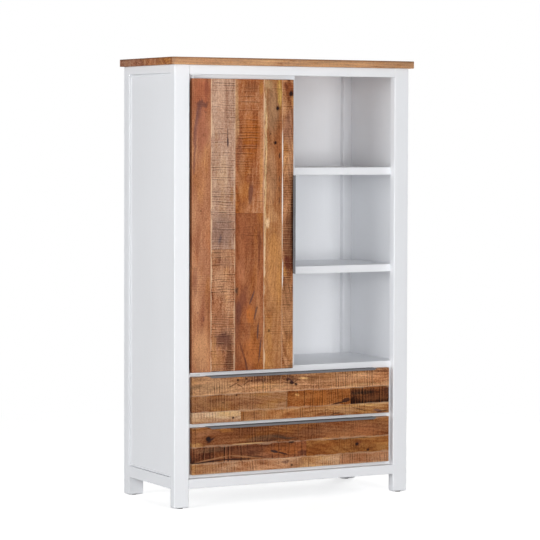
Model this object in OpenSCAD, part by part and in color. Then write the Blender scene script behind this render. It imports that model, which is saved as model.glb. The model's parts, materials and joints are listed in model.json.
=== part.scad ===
// Highboard: a white painted frame with a natural board top, a plank door, an open bay and two drawers.
// Sizes are millimetres. The floor is z = 0, the front faces -Y, and the origin is under the top's middle.
// Inside the modules x runs from the body's left side, y from its front face and z from the floor.

/* [Top] */
// Width of the top, side to side
top_w = 900; // [860:10:1000]
// Depth of the top, front to back
top_d = 400; // [380:5:460]
// Height of the upper face of the top above the floor
total_h = 1450; // [1380:10:1600]
// Thickness of the top
top_t = 24; // [18:1:32]
// How far the top stands out past each side
overhang_side = 14; // [4:1:24]
// How far the top stands out past the front, more than the handles do
overhang_front = 13; // [13:1:24]
// How far the top stands out past the back
overhang_back = 3; // [0:1:10]
// Width of the front board of the top
top_board_1_w = 128; // [90:1:150]
// Width of the second board of the top
top_board_2_w = 77; // [50:1:100]
// Width of the third board of the top
top_board_3_w = 113; // [80:1:130]

/* [Posts] */
// Width of each post, seen from the front
post_w = 53; // [46:1:60]
// Depth of a front post, seen from the side
front_post_d = 30; // [26:1:36]
// Depth of a rear post, seen from the side
rear_post_d = 40; // [34:1:50]
// Radius of the rounded bottom corners of the posts
foot_r = 7; // [3:1:9]
// Radius of the round glide under each post
glide_r = 11; // [6:1:12]
// Thickness of a glide
glide_t = 2; // [1:0.5:3]

/* [Rails] */
// Clear height under the bottom rails
leg_h = 63; // [50:1:90]
// Height of the front top rail
top_rail_h = 30; // [24:1:40]
// Height of the front bottom rail
bottom_rail_h = 31; // [24:1:40]
// How far the front bottom rail reaches back under the floor board
rail_seat = 10; // [6:1:20]
// Thickness of the side rails
side_rail_t = 24; // [16:1:27]
// Height of the top side rails
side_top_rail_h = 27; // [20:1:40]
// Height of the bottom side rails
side_bottom_rail_h = 37; // [26:1:46]
// Height of the rear rails
rear_rail_h = 36; // [26:1:50]

/* [Side panels] */
// How far the face of a side panel lies behind the face of its posts
panel_recess = 5; // [3:1:8]
// Thickness of a side panel
panel_t = 16; // [12:1:20]
// Width of the groove round the panel's raised field
panel_gap = 2.5; // [1:0.5:5]
// Depth of that groove
panel_gap_d = 3; // [2:0.5:5]
// Width of the bead round the field
bead_w = 5; // [3:0.5:8]
// How far the bead stands out
bead_h = 1.5; // [0.5:0.5:2.5]

/* [Carcass] */
// Thickness of the spacers beside the drawers
liner_t = 26.5; // [24:0.5:32]
// Thickness of the floor board
base_t = 24; // [18:1:28]
// Thickness of the deck between the drawers and the bay
deck_t = 25; // [18:1:28]
// How far the door laps the front edge of the deck
deck_lap = 7; // [6:1:14]
// Thickness of the divider between the door and the bay
divider_t = 27; // [20:1:32]
// How far the door laps the divider
divider_lap = 12; // [8:1:18]
// Depth of the lintel above the door
lintel_d = 20; // [16:1:30]
// How far the door laps the lintel
lintel_lap = 10.5; // [6:0.5:14]
// Height of the rail between the drawers
drawer_rail_h = 24; // [18:1:28]
// Depth of the rail between the drawers
drawer_rail_d = 40; // [30:1:80]
// Thickness of the back panel
back_t = 6; // [4:1:9]
// How far the back panel lies behind the front face of the rear posts
back_set = 21; // [10:1:24]
// Depth of the post grooves that hold the back panel
back_groove = 8; // [5:1:12]

/* [Shelves] */
// Thickness of the bay shelves
bay_shelf_t = 25; // [18:1:30]
// How far the bay shelves stand behind the deck's front edge
bay_shelf_set = 5; // [0:1:20]
// Thickness of the cupboard shelves
cupboard_shelf_t = 18; // [15:1:24]
// How far the cupboard shelves stand behind the deck's front edge
cupboard_shelf_set = 34; // [32:1:60]
// Thickness of the strips on the left side panel that hold the shelf pins
pin_strip_t = 15; // [12:1:20]
// Width of a pin strip
pin_strip_w = 30; // [20:1:40]
// Gap at each end of a cupboard shelf
shelf_gap = 1; // [0.5:0.5:2]
// Radius of a shelf pin
shelf_pin_r = 2.5; // [2:0.5:4]
// How far a shelf pin stands out
shelf_pin_out = 9; // [6:1:14]
// How deep a shelf pin sits in its hole
shelf_pin_in = 8; // [6:1:10]
// Distance of the pins from the front and rear edge of a shelf
shelf_pin_inset = 50; // [30:5:100]

/* [Door] */
// Thickness of the door and of the drawer fronts
front_t = 18; // [16:1:24]
// Gap behind the closed door and drawer fronts
rest_gap = 2; // [2:0.5:4]
// Gap between the left post and the door
door_gap_left = 10.5; // [8:0.5:16]
// Width of the door
door_w = 369.5; // [350:0.5:410]
// Gap between the front top rail and the door
door_gap_top = 13.5; // [12:0.5:18]
// Gap between the upper drawer and the door
door_gap_bottom = 14; // [9:0.5:16]
// Width of the first door plank, at the hinge side
plank_1_w = 66.5; // [40:0.5:80]
// Width of the second door plank
plank_2_w = 88; // [60:0.5:100]
// Width of the third door plank
plank_3_w = 105; // [60:0.5:110]
// Width of the fourth door plank
plank_4_w = 67; // [40:0.5:70]
// Height of the cross joint in the second plank above the door's bottom edge
plank_2_joint = 395.5; // [200:0.5:700]
// Height of the cross joint in the third plank above the door's bottom edge
plank_3_joint = 511.5; // [200:0.5:700]
// Height of a door batten
batten_h = 60; // [40:1:90]
// Thickness of a door batten
batten_t = 15; // [10:1:22]
// Distance of the battens from the door's upper and lower edge
batten_inset = 110; // [60:5:200]
// Distance of the batten ends from the sides of the door
batten_end = 30; // [26:1:60]
// Open joint where two lengths of board meet end to end
butt_gap = 0.2; // [0.1:0.1:0.5]

/* [Hinges and catch] */
// Distance of the pivot from the door's left edge and from its front face
pivot_inset = 6; // [6:0.5:7]
// Radius of a pivot pin
pivot_r = 2.5; // [2:0.5:3]
// Running clearance round a pivot pin
pivot_fit = 0.05; // [0.03:0.01:0.08]
// Wall of a pivot bush
bush_wall = 1.2; // [0.8:0.1:1.5]
// Length of a pivot bush
bush_l = 16; // [12:1:24]
// Length of a hinge plate
hinge_plate_l = 44; // [30:1:60]
// Thickness of the hinge plates
hinge_plate_t = 3; // [2:0.5:4]
// How far a hinge plate reaches past the pivot, towards the post
hinge_plate_past = 13; // [6:1:14]
// Distance of the hinge plates behind the front face
hinge_plate_set = 1.5; // [0.5:0.5:2]
// Thickness of the hinge plate's upright leg
hinge_leg_t = 1.5; // [1:0.5:1.5]
// Height of the upright leg's lower end above the deck's underside
hinge_leg_up = 6; // [2:1:9]
// Gap behind the upper hinge plate
hinge_back_gap = 0.5; // [0.3:0.1:1]
// Free depth of a bush beyond the end of its pin
pin_end_gap = 1; // [0.5:0.5:3]
// Gap between the lower hinge plate and the door
hinge_gap = 0.3; // [0.2:0.1:0.6]
// Width of the magnetic catch
catch_w = 24; // [16:1:32]
// Depth of the magnetic catch
catch_d = 28; // [20:1:30]
// Height of the magnetic catch
catch_h = 40; // [30:1:60]
// Height of the middle of the catch below the door's upper edge
catch_drop = 50; // [40:1:70]
// Thickness of the steel strike plate on the door
strike_t = 1.5; // [1:0.5:1.5]
// How far the strike plate's edges lie inside the catch's outline
strike_margin = 2; // [1:0.5:5]

/* [Drawers] */
// Height of each drawer front
drawer_front_h = 152; // [140:1:165]
// Gap between the left post and the drawer fronts
drawer_gap_left = 11.5; // [8:0.5:18]
// Gap between the right post and the drawer fronts
drawer_gap_right = 17; // [8:0.5:18]
// Gap between the bottom rail and the lower drawer front
drawer_gap_bottom = 12.5; // [8:0.5:16]
// Gap between the two drawer fronts
drawer_gap_middle = 12.5; // [5:0.5:14]
// Height of the bottom row of boards in the upper drawer front
upper_row_1_h = 36; // [24:1:60]
// Height of the middle row of boards in the upper drawer front
upper_row_2_h = 55.5; // [30:0.5:70]
// Height of the bottom row of boards in the lower drawer front
lower_row_1_h = 35.5; // [24:0.5:60]
// Height of the middle row of boards in the lower drawer front
lower_row_2_h = 53.5; // [30:0.5:70]
// Thickness of the drawer sides
drawer_side_t = 14; // [12:1:18]
// Height of the drawer sides
drawer_side_h = 120; // [90:1:122]
// Height of the drawer sides' lower edge above the front's lower edge
drawer_side_up = 16; // [13:1:20]
// Free space between the drawer boxes and the back panel
drawer_back_gap = 21; // [11:5:61]
// Gap between a drawer side and the spacer beside it
drawer_side_gap = 2; // [1:0.5:4]
// Thickness of the drawer backs
drawer_back_t = 14; // [10:1:18]
// Thickness of the drawer bottoms
drawer_bottom_t = 5; // [4:1:8]
// Height of the drawer bottom above the sides' lower edge
drawer_bottom_up = 8; // [5:1:14]
// Depth of the grooves that hold a drawer bottom
drawer_bottom_groove = 6; // [4:1:8]
// Height of a runner strip
runner_h = 16; // [10:1:22]
// How far a runner strip stands out from its spacer
runner_out = 8; // [7:0.5:9]
// Play of a runner strip above, so that the drawer rests on it
runner_play = 0.3; // [0.2:0.1:0.6]
// Play of a runner strip below and at its side
runner_clear = 1; // [0.5:0.5:1.5]
// Free space between the runner strips and the back panel
runner_back_gap = 29; // [15:2:85]
// Distance of a runner strip's front end behind the spacer's front edge
runner_set = 4; // [2:1:10]

/* [Handles] */
// Thickness of the handle sheet
handle_t = 1.5; // [1:0.5:1.5]
// How far a handle stands out in front of the fronts
handle_reach = 12.5; // [8:0.5:12.5]
// Width of the door handle's turned lip
door_handle_lip = 7; // [4:0.5:10]
// Width of the drawer handles' turned down lip
drawer_handle_lip = 5; // [4:0.5:10]
// Width of the handle's leg behind the front
handle_leg = 14; // [10:1:20]
// How much shorter the lip is at each end
handle_taper = 8; // [3:1:12]
// Length of a drawer handle
drawer_handle_l = 624; // [300:2:660]
// Length of the door handle
door_handle_l = 322; // [160:2:500]
// Height of the door handle's lower end above the door's lower edge
door_handle_up = 311; // [200:1:400]

/* [Screws] */
// Radius of a screw's shank
screw_r = 2; // [1.5:0.5:2.5]
// Radius of a screw's head
screw_head_r = 4; // [3.5:0.5:5]
// Height of a screw's head
screw_head_h = 3; // [2:0.5:4]
// How deep a screw goes into the top
screw_bite = 12; // [8:1:15]
// Free depth of a pilot hole beyond the screw's tip
screw_tip_gap = 0.5; // [0.5:0.5:2]
// Clearance round the screws and shelf pins
screw_fit = 0.05; // [0.02:0.01:0.1]
// Distance between the screws along a rail
screw_pitch = 300; // [200:10:340]

/* [Hidden] */
$fn = 48;

paint = "whitesmoke";
top_wood = "peru";
front_wood = "sienna";
inner_wood = "burlywood";
dark_metal = "dimgray";
bright_metal = "silver";

// Body, without the overhangs of the top
body_w = top_w - 2 * overhang_side;
body_d = top_d - overhang_front - overhang_back;
body_h = total_h - top_t;
front_y = overhang_front - top_d / 2;
rear_y = body_d - rear_post_d;
inner_left = post_w;
inner_right = body_w - post_w;
panel_in = panel_recess + panel_t;
strip_in = panel_in + pin_strip_t;
inset = front_t + rest_gap;
back_y = rear_y + back_set;
top_board_4_y = top_board_1_w + top_board_2_w + top_board_3_w;

// Heights, from the floor upwards
bottom_rail_top = leg_h + bottom_rail_h;
lower_z = bottom_rail_top + drawer_gap_bottom;
upper_z = lower_z + drawer_front_h + drawer_gap_middle;
door_z = upper_z + drawer_front_h + door_gap_bottom;
deck_top = door_z + deck_lap;
deck_z = deck_top - deck_t;
top_rail_z = body_h - top_rail_h;
door_h = top_rail_z - door_gap_top - door_z;
door_top = door_z + door_h;
bay_h = (top_rail_z - deck_top - 2 * bay_shelf_t) / 3;
lower_shelf_top = deck_top + bay_h + bay_shelf_t;
upper_shelf_top = lower_shelf_top + bay_h + bay_shelf_t;

// Places across the front
door_x = inner_left + door_gap_left;
door_right = door_x + door_w;
divider_x = door_right - divider_lap;
bay_x = divider_x + divider_t;
drawer_x = inner_left + drawer_gap_left;
drawer_right = inner_right - drawer_gap_right;
liner_left = inner_left + liner_t;
liner_right = inner_right - liner_t;
box_left = liner_left + drawer_side_gap;
box_right = liner_right - drawer_side_gap;
plank_x = [
    door_x,
    door_x + plank_1_w,
    door_x + plank_1_w + plank_2_w,
    door_x + plank_1_w + plank_2_w + plank_3_w,
    door_x + plank_1_w + plank_2_w + plank_3_w + plank_4_w,
    door_right
];

// Places of the cross joints in the drawer fronts, from their left end
upper_row_1_joints = [176];
upper_row_2_joints = [348, 588];
lower_row_1_joints = [391, 548];
lower_row_2_joints = [420];

// Drawer boxes, runner strips and their grooves
drawer_side_l = back_y - drawer_back_gap - front_t;
runner_up = (drawer_side_h - runner_h) / 2;
runner_y = inset + runner_set;
runner_l = back_y - runner_back_gap - runner_y;
runner_groove_h = runner_h + runner_play + runner_clear;
runner_groove_d = runner_out - drawer_side_gap + runner_clear;

// Door hardware
pivot_x = door_x + pivot_inset;
bush_r = pivot_r + pivot_fit + bush_wall;
hinge_plate_x = pivot_x - hinge_plate_past;
catch_z = door_top - catch_drop;
screw_hole_r = screw_r + screw_fit;
screw_head_hole_r = screw_head_r + screw_fit;
pin_hole_r = shelf_pin_r + screw_fit;
eps = 0.01;

// Puts x on the body's left side and y on its front face
module in_body() {
    translate([-body_w / 2, front_y, 0])
        children();
}

// Puts a left-hand piece on the right, on the other side of the body's middle
module on_right() {
    translate([body_w, 0, 0])
        mirror([1, 0, 0])
            children();
}

// Box from its lowest to its highest corner
module block(low, high) {
    translate(low)
        cube(high - low);
}

// Upright pin with its lower end at the given point
module upright(place, r, h) {
    translate(place)
        cylinder(r = r, h = h);
}

// Row of places for the screws along a rail
function screw_xs() = [for (i = [-1:1]) body_w / 2 + i * screw_pitch];
function front_screw_y() = inset / 2;
function rear_screw_y() = (back_y + back_t + body_d) / 2;

// Board of the top, from one distance behind the top's front edge to another
module top_board(from, to) {
    block(
        [-overhang_side, from - overhang_front, body_h],
        [body_w + overhang_side, to - overhang_front, total_h]
    );
}

// Row of pilot holes in the underside of the top
module pilot_holes(y) {
    for (x = screw_xs())
        upright([x, y, body_h - 1], screw_hole_r, 1 + screw_bite + screw_tip_gap);
}

module top_board_front() {
    color(top_wood)
        in_body()
            difference() {
                top_board(0, top_board_1_w);
                pilot_holes(front_screw_y());
            }
}

module top_board_second() {
    color(top_wood)
        in_body()
            top_board(top_board_1_w, top_board_1_w + top_board_2_w);
}

module top_board_third() {
    color(top_wood)
        in_body()
            top_board(top_board_1_w + top_board_2_w, top_board_4_y);
}

module top_board_rear() {
    color(top_wood)
        in_body()
            difference() {
                top_board(top_board_4_y, top_d);
                pilot_holes(rear_screw_y());
            }
}

// Upright outline with rounded bottom corners
module foot_outline(w, h) {
    translate([foot_r, 0])
        square([w - 2 * foot_r, h]);
    translate([0, foot_r])
        square([w, h - foot_r]);
    translate([foot_r, foot_r])
        circle(r = foot_r);
    translate([w - foot_r, foot_r])
        circle(r = foot_r);
}

// Post with a rounded foot, standing on its glide
module post(d) {
    post_h = body_h - glide_t;
    translate([0, 0, glide_t])
        intersection() {
            translate([0, d, 0])
                rotate([90, 0, 0])
                    linear_extrude(d)
                        foot_outline(post_w, post_h);
            rotate([90, 0, 90])
                linear_extrude(post_w)
                    foot_outline(d, post_h);
        }
}

module front_post_left() {
    color(paint)
        in_body()
            post(front_post_d);
}

module front_post_right() {
    color(paint)
        in_body()
            on_right()
                post(front_post_d);
}

// Rear post with the groove for the back panel
module rear_post() {
    difference() {
        translate([0, rear_y, 0])
            post(rear_post_d);
        block(
            [post_w - back_groove, back_y, bottom_rail_top],
            [post_w + 1, back_y + back_t, body_h + 1]
        );
    }
}

module rear_post_left() {
    color(paint)
        in_body()
            rear_post();
}

module rear_post_right() {
    color(paint)
        in_body()
            on_right()
                rear_post();
}

// Screw hole through a top rail, with its head sunk into the underside
module screw_hole(x, y, z) {
    upright([x, y, z - 1], screw_hole_r, top_rail_h + rear_rail_h);
    upright([x, y, z - 1], screw_head_hole_r, screw_head_h + 1);
}

module front_rail_top() {
    color(paint)
        in_body()
            difference() {
                block([inner_left, 0, top_rail_z], [inner_right, inset, body_h]);
                for (x = screw_xs())
                    screw_hole(x, front_screw_y(), top_rail_z);
            }
}

module front_rail_bottom() {
    color(paint)
        in_body()
            block([inner_left, 0, leg_h], [inner_right, inset + rail_seat, bottom_rail_top]);
}

// Side rail between the front and the rear post
module side_rail(z, h) {
    block([0, front_post_d, z], [side_rail_t, rear_y, z + h]);
}

module side_rail_top_left() {
    color(paint)
        in_body()
            side_rail(body_h - side_top_rail_h, side_top_rail_h);
}

module side_rail_top_right() {
    color(paint)
        in_body()
            on_right()
                side_rail(body_h - side_top_rail_h, side_top_rail_h);
}

module side_rail_bottom_left() {
    color(paint)
        in_body()
            side_rail(leg_h, side_bottom_rail_h);
}

module side_rail_bottom_right() {
    color(paint)
        in_body()
            on_right()
                side_rail(leg_h, side_bottom_rail_h);
}

module rear_rail_top() {
    color(paint)
        in_body()
            difference() {
                block([inner_left, back_y + back_t, body_h - rear_rail_h], [inner_right, body_d, body_h]);
                for (x = screw_xs())
                    screw_hole(x, rear_screw_y(), body_h - rear_rail_h);
            }
}

module rear_rail_bottom() {
    color(paint)
        in_body()
            block([inner_left, back_y + back_t, leg_h], [inner_right, body_d, leg_h + rear_rail_h]);
}

// Hole or pin for a shelf, in the wall at x, reaching to the left or to the right of it
module shelf_peg(x, y, z, r, low, high) {
    translate([x + low, y, z])
        rotate([0, 90, 0])
            cylinder(r = r, h = high - low);
}

// Places of the pins under the cupboard shelves: distance from the front and height
function shelf_pin_ys() = [
    inset + cupboard_shelf_set + shelf_pin_inset,
    back_y - shelf_pin_inset
];
function shelf_pin_zs() = [
    lower_shelf_top - cupboard_shelf_t - shelf_pin_r,
    upper_shelf_top - cupboard_shelf_t - shelf_pin_r
];

// Field of a side panel, set in from the frame on every edge and standing out by a given amount
module panel_field(edge, face, back) {
    block(
        [face, front_post_d + edge, leg_h + side_bottom_rail_h + edge],
        [back, rear_y - edge, body_h - side_top_rail_h - edge]
    );
}

// Side panel with a groove and a bead round its field
module side_panel() {
    core = panel_recess + panel_gap_d;
    panel_field(0, core, panel_in);
    panel_field(panel_gap, panel_recess, core + eps);
    difference() {
        panel_field(panel_gap, panel_recess - bead_h, panel_recess + eps);
        panel_field(panel_gap + bead_w, panel_recess - bead_h - 1, panel_recess + 1);
    }
}

// Side panel with the two upright strips for the shelf pins on its inner face
module side_panel_left() {
    color(paint)
        in_body()
            difference() {
                union() {
                    side_panel();
                    for (y = shelf_pin_ys())
                        block(
                            [panel_in - eps, y - pin_strip_w / 2, deck_top],
                            [strip_in, y + pin_strip_w / 2, body_h - side_top_rail_h]
                        );
                }
                for (y = shelf_pin_ys())
                    for (z = shelf_pin_zs())
                        shelf_peg(strip_in, y, z, pin_hole_r, -shelf_pin_in, 1);
            }
}

module side_panel_right() {
    color(paint)
        in_body()
            on_right()
                side_panel();
}

module back_panel() {
    color(paint)
        in_body()
            block(
                [post_w - back_groove, back_y, bottom_rail_top],
                [body_w - post_w + back_groove, back_y + back_t, body_h]
            );
}

module floor_board() {
    color(paint)
        in_body()
            block([liner_left, inset, bottom_rail_top], [liner_right, back_y, bottom_rail_top + base_t]);
}

// Board between the side panels, cut out round the posts by a clearance
module notched_board(x_low, x_high, y_low, z, t, gap) {
    difference() {
        block([x_low, y_low, z], [x_high, back_y, z + t]);
        block([-1, -1, z - 1], [inner_left + gap, front_post_d + gap, z + t + 1]);
        block([-1, rear_y - gap, z - 1], [inner_left + gap, body_d, z + t + 1]);
        block([inner_right - gap, -1, z - 1], [body_w, front_post_d + gap, z + t + 1]);
        block([inner_right - gap, rear_y - gap, z - 1], [body_w, body_d, z + t + 1]);
    }
}

module deck_board() {
    color(paint)
        in_body()
            notched_board(panel_in, body_w - panel_in, inset, deck_z, deck_t, 0);
}

module drawer_rail() {
    middle = upper_z - drawer_gap_middle / 2;
    color(paint)
        in_body()
            block(
                [liner_left, inset, middle - drawer_rail_h / 2],
                [liner_right, inset + drawer_rail_d, middle + drawer_rail_h / 2]
            );
}

module divider() {
    color(paint)
        in_body()
            difference() {
                block([divider_x, inset, deck_top], [bay_x, back_y, body_h]);
                for (y = shelf_pin_ys())
                    for (z = shelf_pin_zs())
                        shelf_peg(divider_x, y, z, pin_hole_r, -1, shelf_pin_in);
            }
}

module door_lintel() {
    color(paint)
        in_body()
            block([inner_left, inset, door_top - lintel_lap], [divider_x, inset + lintel_d, body_h]);
}

// Spacers that carry the runner strips, one on each side
module drawer_liners() {
    color(paint)
        in_body() {
            block([inner_left, inset, bottom_rail_top], [liner_left, back_y, deck_z]);
            block([liner_right, inset, bottom_rail_top], [inner_right, back_y, deck_z]);
        }
}

// Fixed shelf of the open bay, from the divider to the right side panel
module bay_shelf(top) {
    color(paint)
        in_body()
            notched_board(
                bay_x,
                body_w - panel_in,
                inset + bay_shelf_set,
                top - bay_shelf_t,
                bay_shelf_t,
                0
            );
}

module bay_shelf_upper() {
    bay_shelf(upper_shelf_top);
}

module bay_shelf_lower() {
    bay_shelf(lower_shelf_top);
}

// Loose shelf behind the door, lying on its pins
module cupboard_shelf(top) {
    color(paint)
        in_body()
            notched_board(
                strip_in + shelf_gap,
                divider_x - shelf_gap,
                inset + cupboard_shelf_set,
                top - cupboard_shelf_t,
                cupboard_shelf_t,
                shelf_gap
            );
}

module cupboard_shelf_upper() {
    cupboard_shelf(upper_shelf_top);
}

module cupboard_shelf_lower() {
    cupboard_shelf(lower_shelf_top);
}

module shelf_pins() {
    color(bright_metal)
        in_body()
            for (y = shelf_pin_ys())
                for (z = shelf_pin_zs()) {
                    shelf_peg(strip_in, y, z, shelf_pin_r, -shelf_pin_in, shelf_pin_out);
                    shelf_peg(divider_x, y, z, shelf_pin_r, -shelf_pin_out, shelf_pin_in);
                }
}

// Hinge plates with their pivot pins: one under the front top rail, one on the deck's front edge
module hinge_plates() {
    lower_top = door_z - hinge_gap;
    color(paint)
        in_body() {
            block(
                [hinge_plate_x, hinge_plate_set, top_rail_z - hinge_plate_t],
                [hinge_plate_x + hinge_plate_l, inset - hinge_back_gap, top_rail_z]
            );
            upright(
                [pivot_x, pivot_inset, door_top - bush_l + pin_end_gap],
                pivot_r,
                top_rail_z - hinge_plate_t - door_top + bush_l - pin_end_gap + eps
            );
            block(
                [hinge_plate_x, hinge_plate_set, lower_top - hinge_plate_t],
                [hinge_plate_x + hinge_plate_l, inset, lower_top]
            );
            block(
                [hinge_plate_x, inset - hinge_leg_t, deck_z + hinge_leg_up],
                [hinge_plate_x + hinge_plate_l, inset, lower_top]
            );
            upright(
                [pivot_x, pivot_inset, lower_top - eps],
                pivot_r,
                hinge_gap + bush_l - pin_end_gap + eps
            );
        }
}

module magnet_catch() {
    color(dark_metal)
        in_body()
            block(
                [divider_x - catch_w, inset, catch_z - catch_h / 2],
                [divider_x, inset + catch_d, catch_z + catch_h / 2]
            );
}

// Runner strips for both drawers, on both spacers
module runner_strips() {
    color(inner_wood)
        in_body()
            for (z = [lower_z, upper_z]) {
                low = z + drawer_side_up + runner_up;
                for (x = [liner_left, liner_right - runner_out])
                    block([x, runner_y, low], [x + runner_out, runner_y + runner_l, low + runner_h]);
            }
}

// Round glides under the four posts
module foot_glides() {
    color(dark_metal)
        in_body()
            for (x = [post_w / 2, body_w - post_w / 2])
                for (y = [front_post_d / 2, body_d - rear_post_d / 2])
                    upright([x, y, 0], glide_r, glide_t);
}

// Screw from a rail's underside up into the top
module screw(x, y, z) {
    upright([x, y, z], screw_head_r, screw_head_h);
    upright([x, y, z + screw_head_h - eps], screw_r, body_h - z - screw_head_h + screw_bite);
}

module top_screws() {
    color(bright_metal)
        in_body()
            for (x = screw_xs()) {
                screw(x, front_screw_y(), top_rail_z);
                screw(x, rear_screw_y(), body_h - rear_rail_h);
            }
}

// Length of a door plank between two heights above the door's lower edge
module plank(i, low, high) {
    block([plank_x[i], 0, door_z + low], [plank_x[i + 1], front_t, door_z + high]);
}

// Plank at the hinge side, bored for the pivot bushes
module door_plank_1() {
    color(front_wood)
        in_body()
            difference() {
                plank(0, 0, door_h);
                for (z = [door_z - 1, door_top - bush_l])
                    upright([pivot_x, pivot_inset, z], bush_r, bush_l + 1);
            }
}

// Two lengths, joined end to end
module door_plank_2() {
    color(front_wood)
        in_body() {
            plank(1, 0, plank_2_joint - butt_gap);
            plank(1, plank_2_joint, door_h);
        }
}

// Two lengths, joined end to end
module door_plank_3() {
    color(front_wood)
        in_body() {
            plank(2, 0, plank_3_joint - butt_gap);
            plank(2, plank_3_joint, door_h);
        }
}

module door_plank_4() {
    color(front_wood)
        in_body()
            plank(3, 0, door_h);
}

module door_plank_5() {
    color(front_wood)
        in_body()
            plank(4, 0, door_h);
}

// Battens across the back of the door
module door_battens() {
    color(inner_wood)
        in_body()
            for (z = [door_z + batten_inset, door_top - batten_inset - batten_h])
                block(
                    [door_x + batten_end, front_t, z],
                    [door_right - batten_end, front_t + batten_t, z + batten_h]
                );
}

// Bent sheet handle, its length along x, its flange on the edge z = 0 of a front whose face is y = 0
module edge_pull(l, lip) {
    block([0, -handle_reach, 0], [l, front_t + handle_t, handle_t]);
    block([0, front_t, -handle_leg], [l, front_t + handle_t, eps]);
    translate([0, handle_t - handle_reach, 0])
        rotate([90, 0, 0])
            linear_extrude(handle_t)
                polygon([[0, eps], [handle_taper, -lip], [l - handle_taper, -lip], [l, eps]]);
}

module door_handle() {
    color(dark_metal)
        in_body()
            translate([door_right, 0, door_z + door_handle_up + door_handle_l])
                rotate([0, 90, 0])
                    edge_pull(door_handle_l, door_handle_lip);
}

// Bushes for the pivot pins, in the lower and the upper edge of the door
module hinge_bushes() {
    color(bright_metal)
        in_body()
            for (z = [door_z, door_top - bush_l])
                difference() {
                    upright([pivot_x, pivot_inset, z], bush_r, bush_l);
                    upright([pivot_x, pivot_inset, z - 1], pivot_r + pivot_fit, bush_l + 2);
                }
}

// Steel plate that meets the magnetic catch
module strike_plate() {
    color(bright_metal)
        in_body()
            block(
                [divider_x - catch_w + strike_margin, front_t, catch_z - catch_h / 2 + strike_margin],
                [divider_x - strike_margin, front_t + strike_t, catch_z + catch_h / 2 - strike_margin]
            );
}

// Row of boards in a drawer front, split at the cross joints
module front_row(z, low, high, joints) {
    starts = concat([0], joints);
    ends = concat([for (joint = joints) joint - butt_gap], [drawer_right - drawer_x]);
    color(front_wood)
        in_body()
            for (i = [0:len(starts) - 1])
                block([drawer_x + starts[i], 0, z + low], [drawer_x + ends[i], front_t, z + high]);
}

// Left drawer side, with a groove outside for the runner strip and one inside for the bottom
module drawer_side(z) {
    low = z + drawer_side_up;
    groove = low + runner_up - runner_clear;
    difference() {
        block(
            [box_left, front_t, low],
            [box_left + drawer_side_t, front_t + drawer_side_l, low + drawer_side_h]
        );
        block(
            [box_left - 1, front_t - 1, groove],
            [box_left + runner_groove_d, front_t + drawer_side_l + 1, groove + runner_groove_h]
        );
        block(
            [box_left + drawer_side_t - drawer_bottom_groove, front_t - 1, low + drawer_bottom_up],
            [
                box_left + drawer_side_t + 1,
                front_t + drawer_side_l + 1,
                low + drawer_bottom_up + drawer_bottom_t
            ]
        );
    }
}

module drawer_side_left(z) {
    color(inner_wood)
        in_body()
            drawer_side(z);
}

module drawer_side_right(z) {
    color(inner_wood)
        in_body()
            on_right()
                drawer_side(z);
}

// Back of a drawer, standing on its bottom between the sides
module drawer_back(z) {
    low = z + drawer_side_up;
    color(inner_wood)
        in_body()
            block(
                [
                    box_left + drawer_side_t,
                    front_t + drawer_side_l - drawer_back_t,
                    low + drawer_bottom_up + drawer_bottom_t
                ],
                [box_right - drawer_side_t, front_t + drawer_side_l, low + drawer_side_h]
            );
}

module drawer_bottom(z) {
    low = z + drawer_side_up + drawer_bottom_up;
    color(inner_wood)
        in_body()
            block(
                [box_left + drawer_side_t - drawer_bottom_groove, front_t, low],
                [
                    box_right - drawer_side_t + drawer_bottom_groove,
                    front_t + drawer_side_l,
                    low + drawer_bottom_t
                ]
            );
}

module drawer_handle(z) {
    color(dark_metal)
        in_body()
            translate([(drawer_x + drawer_right - drawer_handle_l) / 2, 0, z + drawer_front_h])
                edge_pull(drawer_handle_l, drawer_handle_lip);
}

module upper_drawer_board_bottom() {
    front_row(upper_z, 0, upper_row_1_h, upper_row_1_joints);
}

module upper_drawer_board_middle() {
    front_row(upper_z, upper_row_1_h, upper_row_1_h + upper_row_2_h, upper_row_2_joints);
}

module upper_drawer_board_top() {
    front_row(upper_z, upper_row_1_h + upper_row_2_h, drawer_front_h, []);
}

module upper_drawer_side_left() {
    drawer_side_left(upper_z);
}

module upper_drawer_side_right() {
    drawer_side_right(upper_z);
}

module upper_drawer_back() {
    drawer_back(upper_z);
}

module upper_drawer_bottom() {
    drawer_bottom(upper_z);
}

module upper_drawer_handle() {
    drawer_handle(upper_z);
}

module lower_drawer_board_bottom() {
    front_row(lower_z, 0, lower_row_1_h, lower_row_1_joints);
}

module lower_drawer_board_middle() {
    front_row(lower_z, lower_row_1_h, lower_row_1_h + lower_row_2_h, lower_row_2_joints);
}

module lower_drawer_board_top() {
    front_row(lower_z, lower_row_1_h + lower_row_2_h, drawer_front_h, []);
}

module lower_drawer_side_left() {
    drawer_side_left(lower_z);
}

module lower_drawer_side_right() {
    drawer_side_right(lower_z);
}

module lower_drawer_back() {
    drawer_back(lower_z);
}

module lower_drawer_bottom() {
    drawer_bottom(lower_z);
}

module lower_drawer_handle() {
    drawer_handle(lower_z);
}

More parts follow.
